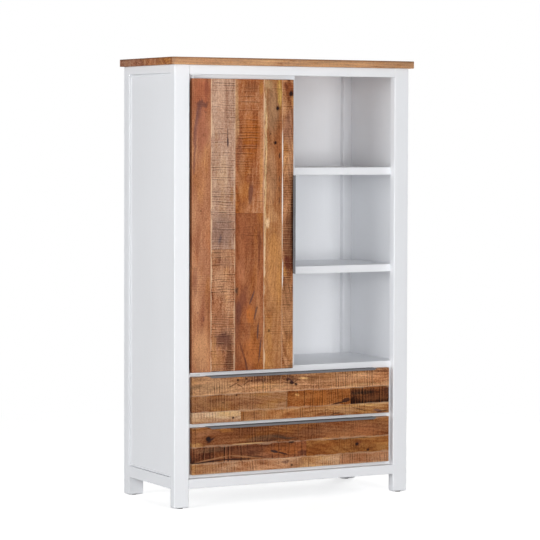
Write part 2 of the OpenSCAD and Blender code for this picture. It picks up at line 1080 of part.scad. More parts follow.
top_board_front();
top_board_second();
top_board_third();
top_board_rear();
front_post_left();
front_post_right();
rear_post_left();
rear_post_right();
front_rail_top();
front_rail_bottom();
side_rail_top_left();
side_rail_top_right();
side_rail_bottom_left();
side_rail_bottom_right();
rear_rail_top();
rear_rail_bottom();
side_panel_left();
side_panel_right();
back_panel();
floor_board();
deck_board();
drawer_rail();
divider();
door_lintel();
drawer_liners();
bay_shelf_upper();
bay_shelf_lower();
cupboard_shelf_upper();
cupboard_shelf_lower();
shelf_pins();
hinge_plates();
magnet_catch();
runner_strips();
foot_glides();
top_screws();
door_plank_1();
door_plank_2();
door_plank_3();
door_plank_4();
door_plank_5();
door_battens();
door_handle();
hinge_bushes();
strike_plate();
upper_drawer_board_bottom();
upper_drawer_board_middle();
upper_drawer_board_top();
upper_drawer_side_left();
upper_drawer_side_right();
upper_drawer_back();
upper_drawer_bottom();
upper_drawer_handle();
lower_drawer_board_bottom();
lower_drawer_board_middle();
lower_drawer_board_top();
lower_drawer_side_left();
lower_drawer_side_right();
lower_drawer_back();
lower_drawer_bottom();
lower_drawer_handle();
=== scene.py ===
"""Highboard with a white painted frame and fronts of natural boards.

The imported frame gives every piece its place. This script models the pieces again with the detail
that the solids leave out, dresses them with node materials and sets up a plain studio.
All lengths are metres. X runs to the right, Y to the back and Z up, from the floor under the top's middle.
"""
import json
import logging
import math
from contextlib import contextmanager
from dataclasses import dataclass, field, replace
from enum import Enum
from typing import Callable, Iterator, Union

import bmesh
import bpy
from mathutils import Matrix, Vector

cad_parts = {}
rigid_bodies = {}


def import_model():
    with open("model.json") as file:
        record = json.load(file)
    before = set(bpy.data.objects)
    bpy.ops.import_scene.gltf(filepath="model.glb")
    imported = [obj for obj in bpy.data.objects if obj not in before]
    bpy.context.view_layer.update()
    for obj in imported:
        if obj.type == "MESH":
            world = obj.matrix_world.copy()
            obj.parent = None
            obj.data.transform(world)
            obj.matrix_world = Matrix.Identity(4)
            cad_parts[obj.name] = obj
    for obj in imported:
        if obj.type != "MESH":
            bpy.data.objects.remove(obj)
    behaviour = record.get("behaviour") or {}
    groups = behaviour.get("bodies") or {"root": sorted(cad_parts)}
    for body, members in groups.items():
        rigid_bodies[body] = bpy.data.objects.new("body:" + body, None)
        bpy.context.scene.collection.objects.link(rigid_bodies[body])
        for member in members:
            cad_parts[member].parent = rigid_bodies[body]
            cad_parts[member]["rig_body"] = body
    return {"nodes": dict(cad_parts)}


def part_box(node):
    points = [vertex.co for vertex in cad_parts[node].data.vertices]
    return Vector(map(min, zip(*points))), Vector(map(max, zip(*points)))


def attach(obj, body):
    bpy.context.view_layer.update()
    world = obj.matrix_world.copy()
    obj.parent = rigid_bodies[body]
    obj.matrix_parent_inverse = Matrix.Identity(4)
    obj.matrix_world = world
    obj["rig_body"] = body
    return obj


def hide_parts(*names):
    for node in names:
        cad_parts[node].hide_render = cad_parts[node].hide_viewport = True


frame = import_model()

LOG = logging.getLogger("highboard")

Triple = tuple[float, float, float]
Colour = Triple
Socket = bpy.types.NodeSocket
Feed = Union[Socket, float, Triple]
Piece = bpy.types.Object
Material = bpy.types.Material
Edge = bmesh.types.BMEdge
Face = bmesh.types.BMFace
PartTest = Callable[..., bool]

NOWHERE: Triple = (0.0, 0.0, 0.0)
UNCHANGED: Triple = (1.0, 1.0, 1.0)
NO_TONE: Colour = (0.0, 0.0, 0.0)
WHITE: Colour = (1.0, 1.0, 1.0)
HAIR = 1e-5
"""Two places closer than this are one."""
ALIGNED = 0.99
"""Cosine above which two directions are one."""
SPARE = 0.01
"""How far a cutter stands out of what it cuts."""
ENDLESS = 1e4
"""Half depth of a mark that goes right through its board."""
SHARP = math.radians(75)
"""Angle between two faces above which their edge is a sharp corner."""


def near(one: float, other: float) -> bool:
    """Tells whether two measures are the same."""
    return abs(one - other) < HAIR


class Grain(Enum):
    """Which way a board's fibres run, as its across, depth and along axes."""

    UPRIGHT = ("X", "Y", "Z")
    LEVEL = ("Z", "Y", "X")
    FLAT = ("Y", "Z", "X")
    DEEP = ("Z", "X", "Y")

    @property
    def across(self) -> int:
        """Number of the axis across the fibres."""
        return "XYZ".index(self.value[0])

    @property
    def along(self) -> int:
        """Number of the axis along the fibres."""
        return "XYZ".index(self.value[2])


class MarkKind(Enum):
    """What a mark on a board is."""

    KNOT = "knot"
    STAIN = "stain"
    CRACK = "crack"
    SAWN = "sawn"


@dataclass(frozen=True)
class Mark:
    """A knot, stain, crack, strip of painted shade or group of saw marks on a board.

    Args:
        kind: What the mark is.
        along: Distance of its middle from the board's lower or left end.
        across: Distance of its middle from the board's left or lower side.
        half_long: Half its size along the fibres.
        half_wide: Half its size across the fibres.
        tone: Colour in its middle.
        strength: How fully that colour covers, from 0 to 1.
        turn: How far it leans from the fibres, in degrees.
    """

    kind: MarkKind
    along: float
    across: float
    half_long: float
    half_wide: float
    tone: Colour
    strength: float
    turn: float

    @staticmethod
    def sized(kind: MarkKind, sizes: tuple[float, float, float, float], tone: Colour, strength: float,
              turn: float = 0.0) -> "Mark":
        """Returns a mark whose place and half sizes are given in millimetres."""
        return Mark(kind, *(size / 1000 for size in sizes), tone, strength, turn)


def knot(along: float, across: float, radius: float, strength: float = 0.9) -> Mark:
    """Returns a nearly round knot. All sizes are millimetres."""
    return Mark.sized(MarkKind.KNOT, (along, across, radius * 1.15, radius), (0.020, 0.010, 0.010), strength)


def stain(along: float, across: float, half_long: float, half_wide: float, tone: Colour,
          strength: float = 0.7, turn: float = 0.0) -> Mark:
    """Returns a soft stain, tone change or patch of painted shade. All sizes are millimetres."""
    return Mark.sized(MarkKind.STAIN, (along, across, half_long, half_wide), tone, strength, turn)


def crack(along: float, across: float, half_long: float, half_wide: float = 0.9, turn: float = 0.0,
          tone: Colour = (0.018, 0.009, 0.006), strength: float = 0.95) -> Mark:
    """Returns a narrow split, seam, chipped line or strip of painted shade. All sizes are millimetres."""
    return Mark.sized(MarkKind.CRACK, (along, across, half_long, half_wide), tone, strength, turn)


def sawn(along: float, across: float, half_long: float, half_wide: float, strength: float = 0.9) -> Mark:
    """Returns a group of strong saw marks, as dark as the wood makes them. All sizes are millimetres."""
    return Mark.sized(MarkKind.SAWN, (along, across, half_long, half_wide), NO_TONE, strength)


@dataclass(frozen=True)
class Weave:
    """Noise that is stretched along the fibres of wood.

    Args:
        across: Cells to the metre across the fibres and in depth.
        along: Cells to the metre along them.
        detail: How much finer noise is laid over it.
        roughness: How strong that finer noise is.
    """

    across: float
    along: float
    detail: float = 3.0
    roughness: float = 0.5


class Layout:
    """Lays out the nodes of a node tree.

    Args:
        tree: The node tree.
    """

    def __init__(self, tree: bpy.types.NodeTree) -> None:
        """Empties the tree."""
        self.tree = tree
        tree.nodes.clear()

    def feed(self, socket: Socket, value: Feed) -> None:
        """Links an input to an output, or sets its value.

        Args:
            socket: The input that takes the value.
            value: An output, a number, a vector or a colour.
        """
        if isinstance(value, Socket):
            self.tree.links.new(value, socket)
        elif socket.type == "RGBA":
            socket.default_value = (*value, 1.0)
        else:
            socket.default_value = value

    def node(self, kind: str, inputs: dict[int | str, Feed], output: int | str = 0,
             **settings: str) -> Socket:
        """Adds a node.

        Args:
            kind: Its type.
            inputs: What its inputs take, by number or name.
            output: Number or name of the output to return.
            settings: Its other settings.

        Returns:
            The output.
        """
        node = self.tree.nodes.new(f"ShaderNode{kind}")
        for name, setting in settings.items():
            setattr(node, name, setting)
        for name, value in inputs.items():
            self.feed(node.inputs[name], value)
        return node.outputs[output]

    def math(self, operation: str, a: Feed, b: Feed = 0.0) -> Socket:
        """Returns the result of a math node."""
        return self.node("Math", {0: a, 1: b}, operation=operation)

    def times(self, a: Feed, b: Feed) -> Socket:
        """Returns the product of two numbers."""
        return self.math("MULTIPLY", a, b)

    def apart(self, a: Feed, b: Feed) -> Socket:
        """Returns how far apart two numbers are."""
        return self.math("ABSOLUTE", self.math("SUBTRACT", a, b))

    def combine(self, x: Feed, y: Feed, z: Feed) -> Socket:
        """Returns a vector made of three numbers."""
        return self.node("CombineXYZ", {0: x, 1: y, 2: z})

    def separate(self, vector: Socket) -> tuple[Socket, Socket, Socket]:
        """Returns the three numbers of a vector."""
        return tuple(self.node("SeparateXYZ", {0: vector}).node.outputs[:3])

    def scaled(self, vector: Socket, factors: Triple, shift: Triple = NOWHERE) -> Socket:
        """Returns a vector scaled along each axis and then shifted."""
        inputs = {"Vector": vector, "Location": shift, "Scale": factors}
        return self.node("Mapping", inputs, vector_type="POINT")

    def seen_from(self, mark: Mark, place: Socket, spread: tuple[float, float] = (1.0, 1.0)) -> Socket:
        """Returns a place on a board as seen from a mark: 1 away on the mark's edge.

        Args:
            mark: The mark.
            place: The place on the board.
            spread: How much larger than the mark its edge is taken, across and along.

        Returns:
            The place from the mark's middle.
        """
        size = (spread[0] * mark.half_wide, ENDLESS, spread[1] * mark.half_long)
        turn = (0.0, math.radians(mark.turn), 0.0)
        middle = (mark.across, 0.0, mark.along)
        inputs = {"Vector": place, "Location": middle, "Rotation": turn, "Scale": size}
        return self.node("Mapping", inputs, vector_type="TEXTURE")

    def length(self, vector: Socket) -> Socket:
        """Returns a vector's length."""
        return self.node("VectorMath", {0: vector}, "Value", operation="LENGTH")

    def add(self, a: Socket, b: Socket) -> Socket:
        """Returns the sum of two vectors."""
        return self.node("VectorMath", {0: a, 1: b}, operation="ADD")

    def noise(self, vector: Socket, scale: float = 1.0, detail: float = 3.0, roughness: float = 0.5,
              colour: bool = False) -> Socket:
        """Returns a noise texture's value, or its colour."""
        inputs = {"Vector": vector, "Scale": scale, "Detail": detail, "Roughness": roughness}
        return self.node("TexNoise", inputs, 1 if colour else 0)

    def woven(self, place: Socket, weave: Weave, move: Triple = NOWHERE, colour: bool = False) -> Socket:
        """Returns a weave's value or its colour at a place on a board, with its pattern moved."""
        stretched = self.scaled(place, (weave.across, weave.across, weave.along), move)
        return self.noise(stretched, 1.0, weave.detail, weave.roughness, colour)

    def spread(self, noise: Socket, low: float, high: float) -> Socket:
        """Returns a noise, whose values mostly lie round 0.5, stretched over a range."""
        return self.remap(noise, 0.3, 0.7, low, high, False)

    def remap(self, value: Socket, low: float, high: float, to_low: float = 0.0, to_high: float = 1.0,
              smooth: bool = True) -> Socket:
        """Returns a number moved from one range to another, held at its ends."""
        ends = {"Value": value, "From Min": low, "From Max": high, "To Min": to_low, "To Max": to_high}
        return self.node("MapRange", ends, interpolation_type="SMOOTHSTEP" if smooth else "LINEAR")

    def mix(self, factor: Feed, a: Feed, b: Feed, blend: str = "MIX") -> Socket:
        """Returns two colours mixed."""
        return self.node("Mix", {0: factor, 6: a, 7: b}, 2, data_type="RGBA", blend_type=blend)

    def bump(self, height: Socket, depth: float) -> Socket:
        """Returns a normal bent by a height of the given depth."""
        return self.node("Bump", {"Strength": 1.0, "Distance": depth, "Height": height})

    def weigh(self, base: float, *terms: tuple[Socket, float]) -> Socket:
        """Adds weighted values that swing round 0.5.

        Args:
            base: What the sum is where every value is 0.5.
            terms: Each value with its weight.

        Returns:
            The sum.
        """
        total = base - sum(weight for _, weight in terms) / 2
        for value, weight in terms:
            total = self.node("Math", {0: value, 1: weight, 2: total}, operation="MULTIPLY_ADD")
        return total

    def chance(self, value: Socket) -> Socket:
        """Returns a random number from 0 to 1 for each value."""
        return self.node("TexWhiteNoise", {"W": value}, "Value", noise_dimensions="1D")

    def ramp(self, value: Socket, stops: list[tuple[float, Colour]]) -> Socket:
        """Returns the colour at a value between coloured stops."""
        output = self.node("ValToRGB", {0: value})
        elements = output.node.color_ramp.elements
        while len(elements) < len(stops):
            elements.new(0.5)
        for element, (place, _) in zip(elements, stops):
            element.position = place
        for element, (_, colour) in zip(elements, stops):
            element.color = (*colour, 1.0)
        return output

    def tinted(self, colour: Feed, factor: Socket) -> Socket:
        """Returns a colour multiplied by a number."""
        return self.mix(1.0, colour, self.combine(factor, factor, factor), "MULTIPLY")


class Sheet(Layout):
    """Lays out the nodes of one material.

    Args:
        name: Name of the material.
        sheen: How strongly its surface mirrors.
    """

    def __init__(self, name: str, sheen: float = 0.5) -> None:
        """Starts the material with its shader and output."""
        self.material = bpy.data.materials.new(name)
        self.material.use_nodes = True
        super().__init__(self.material.node_tree)
        self.output = self.tree.nodes.new("ShaderNodeOutputMaterial")
        self.shader = self.tree.nodes.new("ShaderNodeBsdfPrincipled")
        self.shader.inputs["Specular IOR Level"].default_value = sheen
        self.feed(self.output.inputs[0], self.shader.outputs[0])

    def object_place(self) -> Socket:
        """Returns the place on the piece, in its own coordinates."""
        return self.node("TexCoord", {}, "Object")

    def grain_place(self, grain: Grain, corner: Triple | Vector = NOWHERE) -> Socket:
        """Returns the place on a board from its low corner, as across, depth and along."""
        moved = self.scaled(self.object_place(), UNCHANGED, tuple(-c for c in corner))
        parts = dict(zip("XYZ", self.separate(moved)))
        return self.combine(*(parts[axis] for axis in grain.value))

    def finish(self, colour: Feed, roughness: Feed, normal: Socket, metallic: float = 0.0) -> Material:
        """Sets the shader and returns the finished material."""
        inputs = {"Base Color": colour, "Roughness": roughness, "Metallic": metallic, "Normal": normal}
        for name, value in inputs.items():
            self.feed(self.shader.inputs[name], value)
        return self.material


@dataclass(frozen=True)
class Tones:
    """Colours of a board.

    Args:
        dark: Its darker grain.
        middle: Its middle tone.
        light: Its lighter grain.
    """

    dark: Colour
    middle: Colour
    light: Colour

    @staticmethod
    def around(middle: Colour, spread: float = 1.0) -> "Tones":
        """Returns the tones of a board from its middle tone.

        Args:
            middle: The middle tone.
            spread: How far the darker and lighter grain stand from it.

        Returns:
            The tones.
        """
        down = (0.62 ** spread, 0.48 ** spread, 0.44 ** spread)
        up = (1.33 ** spread, 1.60 ** spread, 1.85 ** spread)
        return Tones(
            tuple(m * d for m, d in zip(middle, down)), middle, tuple(m * u for m, u in zip(middle, up)))

    @property
    def deepest(self) -> Colour:
        """Tone of pores, rims and the darkest grain."""
        return tuple(0.45 * d for d in self.dark)

    @property
    def palest(self) -> Colour:
        """Tone of ridges and the palest grain."""
        return tuple(min(0.9, 1.28 * c) for c in self.light)

    def stops(self) -> list[tuple[float, Colour]]:
        """Returns the tones as the stops of a ramp."""
        tones = (self.deepest, self.dark, self.middle, self.light, self.palest)
        return [(0.25 * step, tone) for step, tone in enumerate(tones)]


WANDER = Weave(9.0, 3.0)
DRIFT = Weave(13.0, 2.6)
CLOUD = Weave(34.0, 10.0)
STREAK = Weave(70.0, 5.0, roughness=0.55)
FIBRE = Weave(230.0, 15.0, roughness=0.6)
MOTTLE = Weave(250.0, 190.0, roughness=0.65)
HUE = Weave(17.0, 4.5)
PORES = Weave(620.0, 75.0, detail=1.0)
SAW_WOBBLE = Weave(10.0, 16.0, detail=1.0)
SAW_PATCHES = Weave(9.0, 6.0, detail=2.0)
EDGE_WEAR_AND_HIGHLIGHT = Weave(90.0, 22.0)
STAIN_RIM = Weave(45.0, 16.0, roughness=0.6)
FINE_STAIN_RIM = Weave(190.0, 60.0, roughness=0.6)
KNOT_RIM = Weave(260.0, 110.0, roughness=0.6)
PAINT_CLOUD = Weave(5.0, 2.5)
PAINT_BRUSHED = Weave(260.0, 5.0, roughness=0.6)
PAINT_SPECK = Weave(900.0, 700.0, detail=1.0)

WORN_PALE_AND_HIGHLIGHT: Colour = (0.74, 0.52, 0.34)
# Colour of a long edge that is worn to bare wood, which also stands for a painted highlight on its rounding.
"""Colour of a long edge that is worn to bare wood."""
RIM_BAND = (0.0062, 0.0030)
"""Where a dark rim begins and where it is full, below the board's upper face."""
RIM_REACH = (0.002, 0.005)
"""How far a dark rim reaches in from the board's end, and where it has gone."""
WORN_AND_HIGHLIGHT_REACH = (0.0038, 0.0012)
# Where the wear and painted highlight of a long edge begin and where they are full.
"""Where the wear of a long edge begins and where it is full."""
FLOW_FROM = 0.004
"""Half width of the smallest knot that the fibres flow round."""


@dataclass(frozen=True)
class BoardFinish:
    """Rough sawn natural board with its own tones, rings, saw marks and marks.

    Args:
        tones: Its colours.
        seed: Number that sets this board's own pattern.
        pitch: Distance between growth rings.
        rings: How much the rings show.
        lean: Slant of the trunk against the board, across and in depth, which makes arches.
        pith: Place of the trunk's middle from the board's corner, across and in depth.
        waver: How much the fibres wander.
        drift: How much the tone changes over the board.
        streak: How much the tone changes from fibre to fibre.
        grit: How much the surface is mottled.
        saw: How much the saw marks show.
        saw_pitch: Distance between saw marks.
        saw_slope: Slant of the saw marks.
        saw_cover: Share of the board with saw marks.
        saw_breaks: How often a saw mark breaks off across the board, as cells to the metre.
        saw_shade: Tone of the saw marks as a share of the wood's tone.
        warmth: How much the wood turns golden or ruddy from place to place.
        pale_start: How pale the edge at the start of the across direction is worn and painted as lit.
        pale_end: How pale the opposite edge is worn and painted as lit.
        dark_rim: Height of the board's upper edge, which is darkened at its end; 0 for none.
        front_rim: Whether the upper edge in front is darkened too.
        marks: Knots, stains, cracks, strips of painted shade and groups of saw marks.
        sheen: How strongly the oiled surface mirrors.
        relief: Depth of the surface's texture.
    """

    tones: Tones
    seed: float
    pitch: float = 0.008
    rings: float = 0.20
    lean: tuple[float, float] = (0.02, 0.10)
    pith: tuple[float, float] = (0.03, 0.05)
    waver: float = 1.0
    drift: float = 1.0
    streak: float = 1.0
    grit: float = 1.0
    saw: float = 0.5
    saw_pitch: float = 0.0095
    saw_slope: float = 0.02
    saw_cover: float = 0.5
    saw_breaks: float = 26.0
    saw_shade: float = 0.32
    warmth: float = 1.0
    pale_start: float = 0.25
    pale_end: float = 0.25
    dark_rim: float = 0.0
    front_rim: bool = False
    marks: tuple[Mark, ...] = ()
    sheen: float = 0.06
    relief: float = 0.0006

    def material(self, name: str, grain: Grain, low: Vector, high: Vector) -> Material:
        """Builds the board's material.

        Args:
            name: Name of the material.
            grain: Which way the fibres run.
            low: The board's low corner.
            high: The board's high corner.

        Returns:
            The finished material.
        """
        sheet = Sheet(name, self.sheen)
        place = sheet.grain_place(grain, low)
        move = (self.seed * 1.7, self.seed * 0.9, self.seed * 2.3)
        wander = sheet.woven(place, WANDER, move, colour=True)
        size = 0.020 * self.waver
        bent = sheet.add(place, sheet.scaled(wander, (size, size, 0.0), (-size / 2, -size / 2, 0.0)))
        bent = self._flow_round_knots(sheet, bent)
        drift = sheet.woven(bent, DRIFT, move)
        cloud = sheet.woven(bent, CLOUD, move)
        streak = sheet.woven(bent, STREAK, move)
        fibre = sheet.woven(bent, FIBRE, move)
        mottle = sheet.woven(place, MOTTLE, move)
        tone = sheet.weigh(
            0.5, (self._rings(sheet, bent), self.rings), (drift, 1.35 * self.drift),
            (cloud, 0.85 * self.drift), (streak, 0.8 * self.streak), (fibre, 0.45 * self.streak),
            (mottle, 1.1 * self.grit))
        colour = self._warm(sheet, bent, move, sheet.ramp(tone, self.tones.stops()))
        detail = sheet.remap(tone, 0.0, 1.0, 0.50, 1.50, False)
        colour = self._lay_stains_and_shade(sheet, bent, colour, detail)
        cuts, ridges = self._saw_marks(sheet, place, move)
        colour = sheet.mix(sheet.times(ridges, 0.5), colour, self.tones.palest)
        shadow = sheet.tinted(colour, sheet.times(detail, self.saw_shade))
        colour = sheet.mix(cuts, colour, shadow)
        pores = sheet.remap(sheet.woven(bent, PORES, move), 0.60, 0.70)
        colour = sheet.mix(sheet.times(pores, 0.6), colour, self.tones.deepest)
        colour = self._wear_and_light_edges(sheet, place, move, high[grain.across] - low[grain.across], colour)
        if self.dark_rim > 0.0:
            colour = self._darken_rim(sheet, place, cloud, colour)
        height = sheet.weigh(0.0, (tone, 0.30), (mottle, 0.5), (cuts, -0.9), (pores, -0.3))
        colour, height = self._lay_knots(sheet, place, colour, height)
        roughness = sheet.spread(fibre, 0.46, 0.62)
        return sheet.finish(colour, roughness, sheet.bump(height, self.relief))

    def _marks_of(self, *kinds: MarkKind) -> list[Mark]:
        """Returns the board's marks of the given kinds."""
        return [mark for mark in self.marks if mark.kind in kinds]

    def _warm(self, sheet: Sheet, bent: Socket, move: Triple, colour: Socket) -> Socket:
        """Turns the wood golden in some places and ruddy in others."""
        hue = sheet.woven(bent, HUE, (move[2], move[0], move[1]))
        golden = sheet.remap(hue, 0.50, 0.68, 0.0, 0.8 * self.warmth)
        ruddy = sheet.remap(hue, 0.50, 0.32, 0.0, 0.8 * self.warmth)
        colour = sheet.mix(golden, colour, (1.08, 1.02, 0.62), "MULTIPLY")
        return sheet.mix(ruddy, colour, (1.0, 0.83, 0.70), "MULTIPLY")

    def _flow_round_knots(self, sheet: Sheet, bent: Socket) -> Socket:
        """Returns the place on the board with the fibres spread round its larger knots."""
        for mark in self._marks_of(MarkKind.KNOT):
            if mark.half_wide < FLOW_FROM:
                continue
            seen = sheet.seen_from(mark, bent, (3.0, 4.5))
            close = sheet.remap(sheet.length(seen), 1.0, 0.0)
            push = sheet.times(sheet.times(sheet.separate(seen)[0], close), -1.8 * mark.half_wide)
            bent = sheet.add(bent, sheet.combine(push, 0.0, 0.0))
        return bent

    def _rings(self, sheet: Sheet, bent: Socket) -> Socket:
        """Returns the growth rings, 0 in late wood and 1 in early wood."""
        across, depth, along = sheet.separate(bent)
        aside = sheet.weigh(-self.pith[0] + self.lean[0] / 2, (along, self.lean[0]))
        inward = sheet.weigh(-self.pith[1] + self.lean[1] / 2, (along, self.lean[1]))
        radius = sheet.length(sheet.combine(
            sheet.math("ADD", across, aside), sheet.math("ADD", depth, inward), 0.0))
        swing = sheet.math("SINE", sheet.times(radius, 2 * math.pi / self.pitch))
        return sheet.math("POWER", sheet.remap(swing, -1.0, 1.0, smooth=False), 0.6)

    def _saw_marks(self, sheet: Sheet, place: Socket, move: Triple) -> tuple[Socket, Socket]:
        """Returns the cover of the saw's cuts across the fibres, and of the lighter ridges beside them."""
        across, _, along = sheet.separate(place)
        wobble = sheet.woven(place, SAW_WOBBLE, move)
        travel = sheet.weigh(0.0, (along, 1.0), (across, self.saw_slope), (wobble, 1.6 * self.saw_pitch))
        beat = sheet.times(travel, 1.0 / self.saw_pitch)
        number = sheet.math("FLOOR", beat)
        luck = sheet.chance(number)
        within = sheet.math("ADD", sheet.math("SUBTRACT", beat, number), sheet.times(luck, -0.35))
        line = sheet.remap(sheet.apart(within, 0.30), 0.24, 0.07)
        ridge = sheet.remap(sheet.apart(within, 0.62), 0.22, 0.04)
        force = sheet.remap(luck, 0.10, 0.70, 0.10, 1.0, False)
        dashes = sheet.woven(place, Weave(self.saw_breaks, 140.0, roughness=0.6), move)
        broken = sheet.remap(dashes, 0.36, 0.56)
        patches = sheet.woven(place, SAW_PATCHES, move)
        limit = 0.66 - 0.32 * self.saw_cover
        worn = sheet.remap(patches, limit - 0.08, limit + 0.08, 0.0, self.saw)
        for mark in self._marks_of(MarkKind.SAWN):
            group = sheet.remap(sheet.length(sheet.seen_from(mark, place)), 1.15, 0.70, 0.0, mark.strength)
            worn = sheet.math("MAXIMUM", worn, group)
        spread = sheet.times(sheet.times(force, broken), worn)
        return sheet.times(line, spread), sheet.times(ridge, spread)

    def _wear_and_light_edges(self, sheet: Sheet, place: Socket, move: Triple, width: float,
                    colour: Socket) -> Socket:
        """Lays pale wood along the board's two long edges: wear, and a painted highlight on their rounding.
        """
        across = sheet.separate(place)[0]
        uneven = sheet.woven(place, EDGE_WEAR_AND_HIGHLIGHT, move)
        opposite = sheet.math("SUBTRACT", width, across)
        for distance, strength in ((across, self.pale_start), (opposite, self.pale_end)):
            if strength > 0.0:
                reach = sheet.weigh(0.5, (distance, 1.0), (uneven, -0.016))
                cover = sheet.remap(reach, *WORN_AND_HIGHLIGHT_REACH, 0.0, strength)
                # Pale edge: wear, and a painted highlight on the rounded edge.
                colour = sheet.mix(cover, colour, WORN_PALE_AND_HIGHLIGHT)
        return colour

    def _darken_rim(self, sheet: Sheet, place: Socket, cloud: Socket, colour: Socket) -> Socket:
        """Darkens the board's upper edge at its end, and in front as well where it has a front rim."""
        across, depth, along = sheet.separate(place)
        reach = sheet.math("ADD", depth, sheet.weigh(0.0, (cloud, 0.004)))
        begin, full = (self.dark_rim - below for below in RIM_BAND)
        upper = sheet.remap(reach, begin, full, 0.0, 0.5)
        from_end = sheet.math("MINIMUM", across, along) if self.front_rim else along
        edge = sheet.remap(from_end, *RIM_REACH, 1.0, 0.0)
        return sheet.mix(sheet.times(upper, edge), colour, self.tones.deepest)

    @staticmethod
    def _ragged(sheet: Sheet, place: Socket, weave: Weave, reach: Triple) -> Socket:
        """Returns the place moved unevenly, so that a mark gets a ragged edge."""
        move = sheet.woven(place, weave, colour=True)
        return sheet.add(place, sheet.scaled(move, reach, tuple(-r / 2 for r in reach)))

    def _lay_stains_and_shade(self, sheet: Sheet, bent: Socket, colour: Socket, detail: Socket) -> Socket:
        """Lays the stains, tone changes and painted shade over the wood, under its grain."""
        stains = self._marks_of(MarkKind.STAIN)
        if not stains:
            return colour
        ragged = self._ragged(sheet, bent, STAIN_RIM, (0.020, 0.020, 0.060))
        ragged = self._ragged(sheet, ragged, FINE_STAIN_RIM, (0.008, 0.008, 0.024))
        for mark in stains:
            cover = sheet.remap(sheet.length(sheet.seen_from(mark, ragged)), 1.30, 0.45, 0.0, mark.strength)
            colour = sheet.mix(cover, colour, sheet.tinted(mark.tone, detail))
        return colour

    def _lay_knots(self, sheet: Sheet, place: Socket, colour: Socket,
                   height: Socket) -> tuple[Socket, Socket]:
        """Lays the knots, cracks and strips of painted shade over the wood and returns its colour and height.
        """
        for mark in self._marks_of(MarkKind.KNOT, MarkKind.CRACK):
            reach = 0.35 * mark.half_wide
            source = self._ragged(sheet, place, KNOT_RIM, (reach * 3, reach * 3, reach * 5))
            away = sheet.length(sheet.seen_from(mark, source))
            if mark.kind is MarkKind.KNOT:
                rim = sheet.remap(away, 2.0, 1.1, 0.0, 0.7 * mark.strength)
                colour = sheet.mix(rim, colour, self.tones.deepest)
                cover = sheet.remap(away, 1.25, 0.90, 0.0, mark.strength)
                height = sheet.math("SUBTRACT", height, sheet.times(cover, 0.6))
            else:
                cover = sheet.remap(away, 1.2, 0.7, 0.0, mark.strength)
                height = sheet.math("SUBTRACT", height, cover)
            colour = sheet.mix(cover, colour, mark.tone)
        return colour, height


@dataclass(frozen=True)
class PaintFinish:
    """Smooth satin paint over wood.

    Args:
        colour: Colour of the paint.
        streak: How much the brushed grain shows.
        roughness: Roughness of the paint.
        relief: Depth of the brushed texture.
    """

    colour: Colour = (0.835, 0.848, 0.876)
    streak: float = 0.03
    roughness: float = 0.34
    relief: float = 0.00012

    def material(self, name: str, grain: Grain) -> Material:
        """Builds the paint's material, with its grain running along a board.

        Args:
            name: Name of the material.
            grain: Which way the board under the paint runs.

        Returns:
            The finished material.
        """
        sheet = Sheet(name)
        place = sheet.grain_place(grain)
        cloud = sheet.woven(place, PAINT_CLOUD)
        brushed = sheet.woven(place, PAINT_BRUSHED)
        speck = sheet.woven(place, PAINT_SPECK)
        swings = [sheet.spread(noise, -1.0, 1.0) for noise in (cloud, brushed)]
        factor = sheet.remap(sheet.math("ADD", *swings), -2.0, 2.0, 1.0 - self.streak, 1.0, False)
        height = sheet.math("ADD", sheet.times(brushed, 0.6), sheet.times(speck, 0.25))
        roughness = sheet.spread(cloud, self.roughness - 0.05, self.roughness + 0.05)
        return sheet.finish(sheet.tinted(self.colour, factor), roughness, sheet.bump(height, self.relief))


@dataclass(frozen=True)
class MetalFinish:
    """Metal, bare or powder coated.

    Args:
        colour: Colour of the metal or its coat.
        roughness: Roughness of the surface.
        metallic: 1 for bare metal, 0 for a coat.
        grit: Size of the surface's texture, as cells to the metre.
        depth: Depth of that texture.
        sheen: How strongly a coat mirrors its surroundings.
    """

    colour: Colour
    roughness: float
    metallic: float
    grit: float
    depth: float
    sheen: float = 0.5

    def material(self, name: str) -> Material:
        """Builds the metal's material."""
        sheet = Sheet(name, self.sheen)
        place = sheet.object_place()
        grain = sheet.noise(place, self.grit, 2.0)
        smear = sheet.noise(place, 28.0)
        factor = sheet.spread(smear, 0.86, 1.0)
        roughness = sheet.spread(smear, self.roughness - 0.06, self.roughness + 0.06)
        colour = sheet.tinted(self.colour, factor)
        return sheet.finish(colour, roughness, sheet.bump(grain, self.depth), self.metallic)


@dataclass(frozen=True)
class SoftFinish:
    """Matt felt or plastic.

    Args:
        colour: Colour of the material.
        roughness: Roughness of its surface.
        fuzz: Size of its texture, as cells to the metre.
        depth: Depth of that texture.
    """

    colour: Colour
    roughness: float
    fuzz: float
    depth: float

    def material(self, name: str) -> Material:
        """Builds the material."""
        sheet = Sheet(name)
        cells = sheet.noise(sheet.object_place(), self.fuzz, roughness=0.7)
        factor = sheet.spread(cells, 0.75, 1.1)
        return sheet.finish(sheet.tinted(self.colour, factor), self.roughness, sheet.bump(cells, self.depth))


class Side(Enum):
    """Side of a block, as an axis and a direction."""

    LEFT = ("X", -1)
    RIGHT = ("X", 1)
    FRONT = ("Y", -1)
    BACK = ("Y", 1)
    BOTTOM = ("Z", -1)
    TOP = ("Z", 1)

    @property
    def normal(self) -> Vector:
        """Outward direction of the side."""
        out = Vector(NOWHERE)
        out["XYZ".index(self.value[0])] = float(self.value[1])
        return out

    def meeting(self, *others: "Side") -> "list[tuple[Side, Side]]":
        """Returns the edges where this side meets others, as pairs of sides."""
        return [(self, other) for other in others]


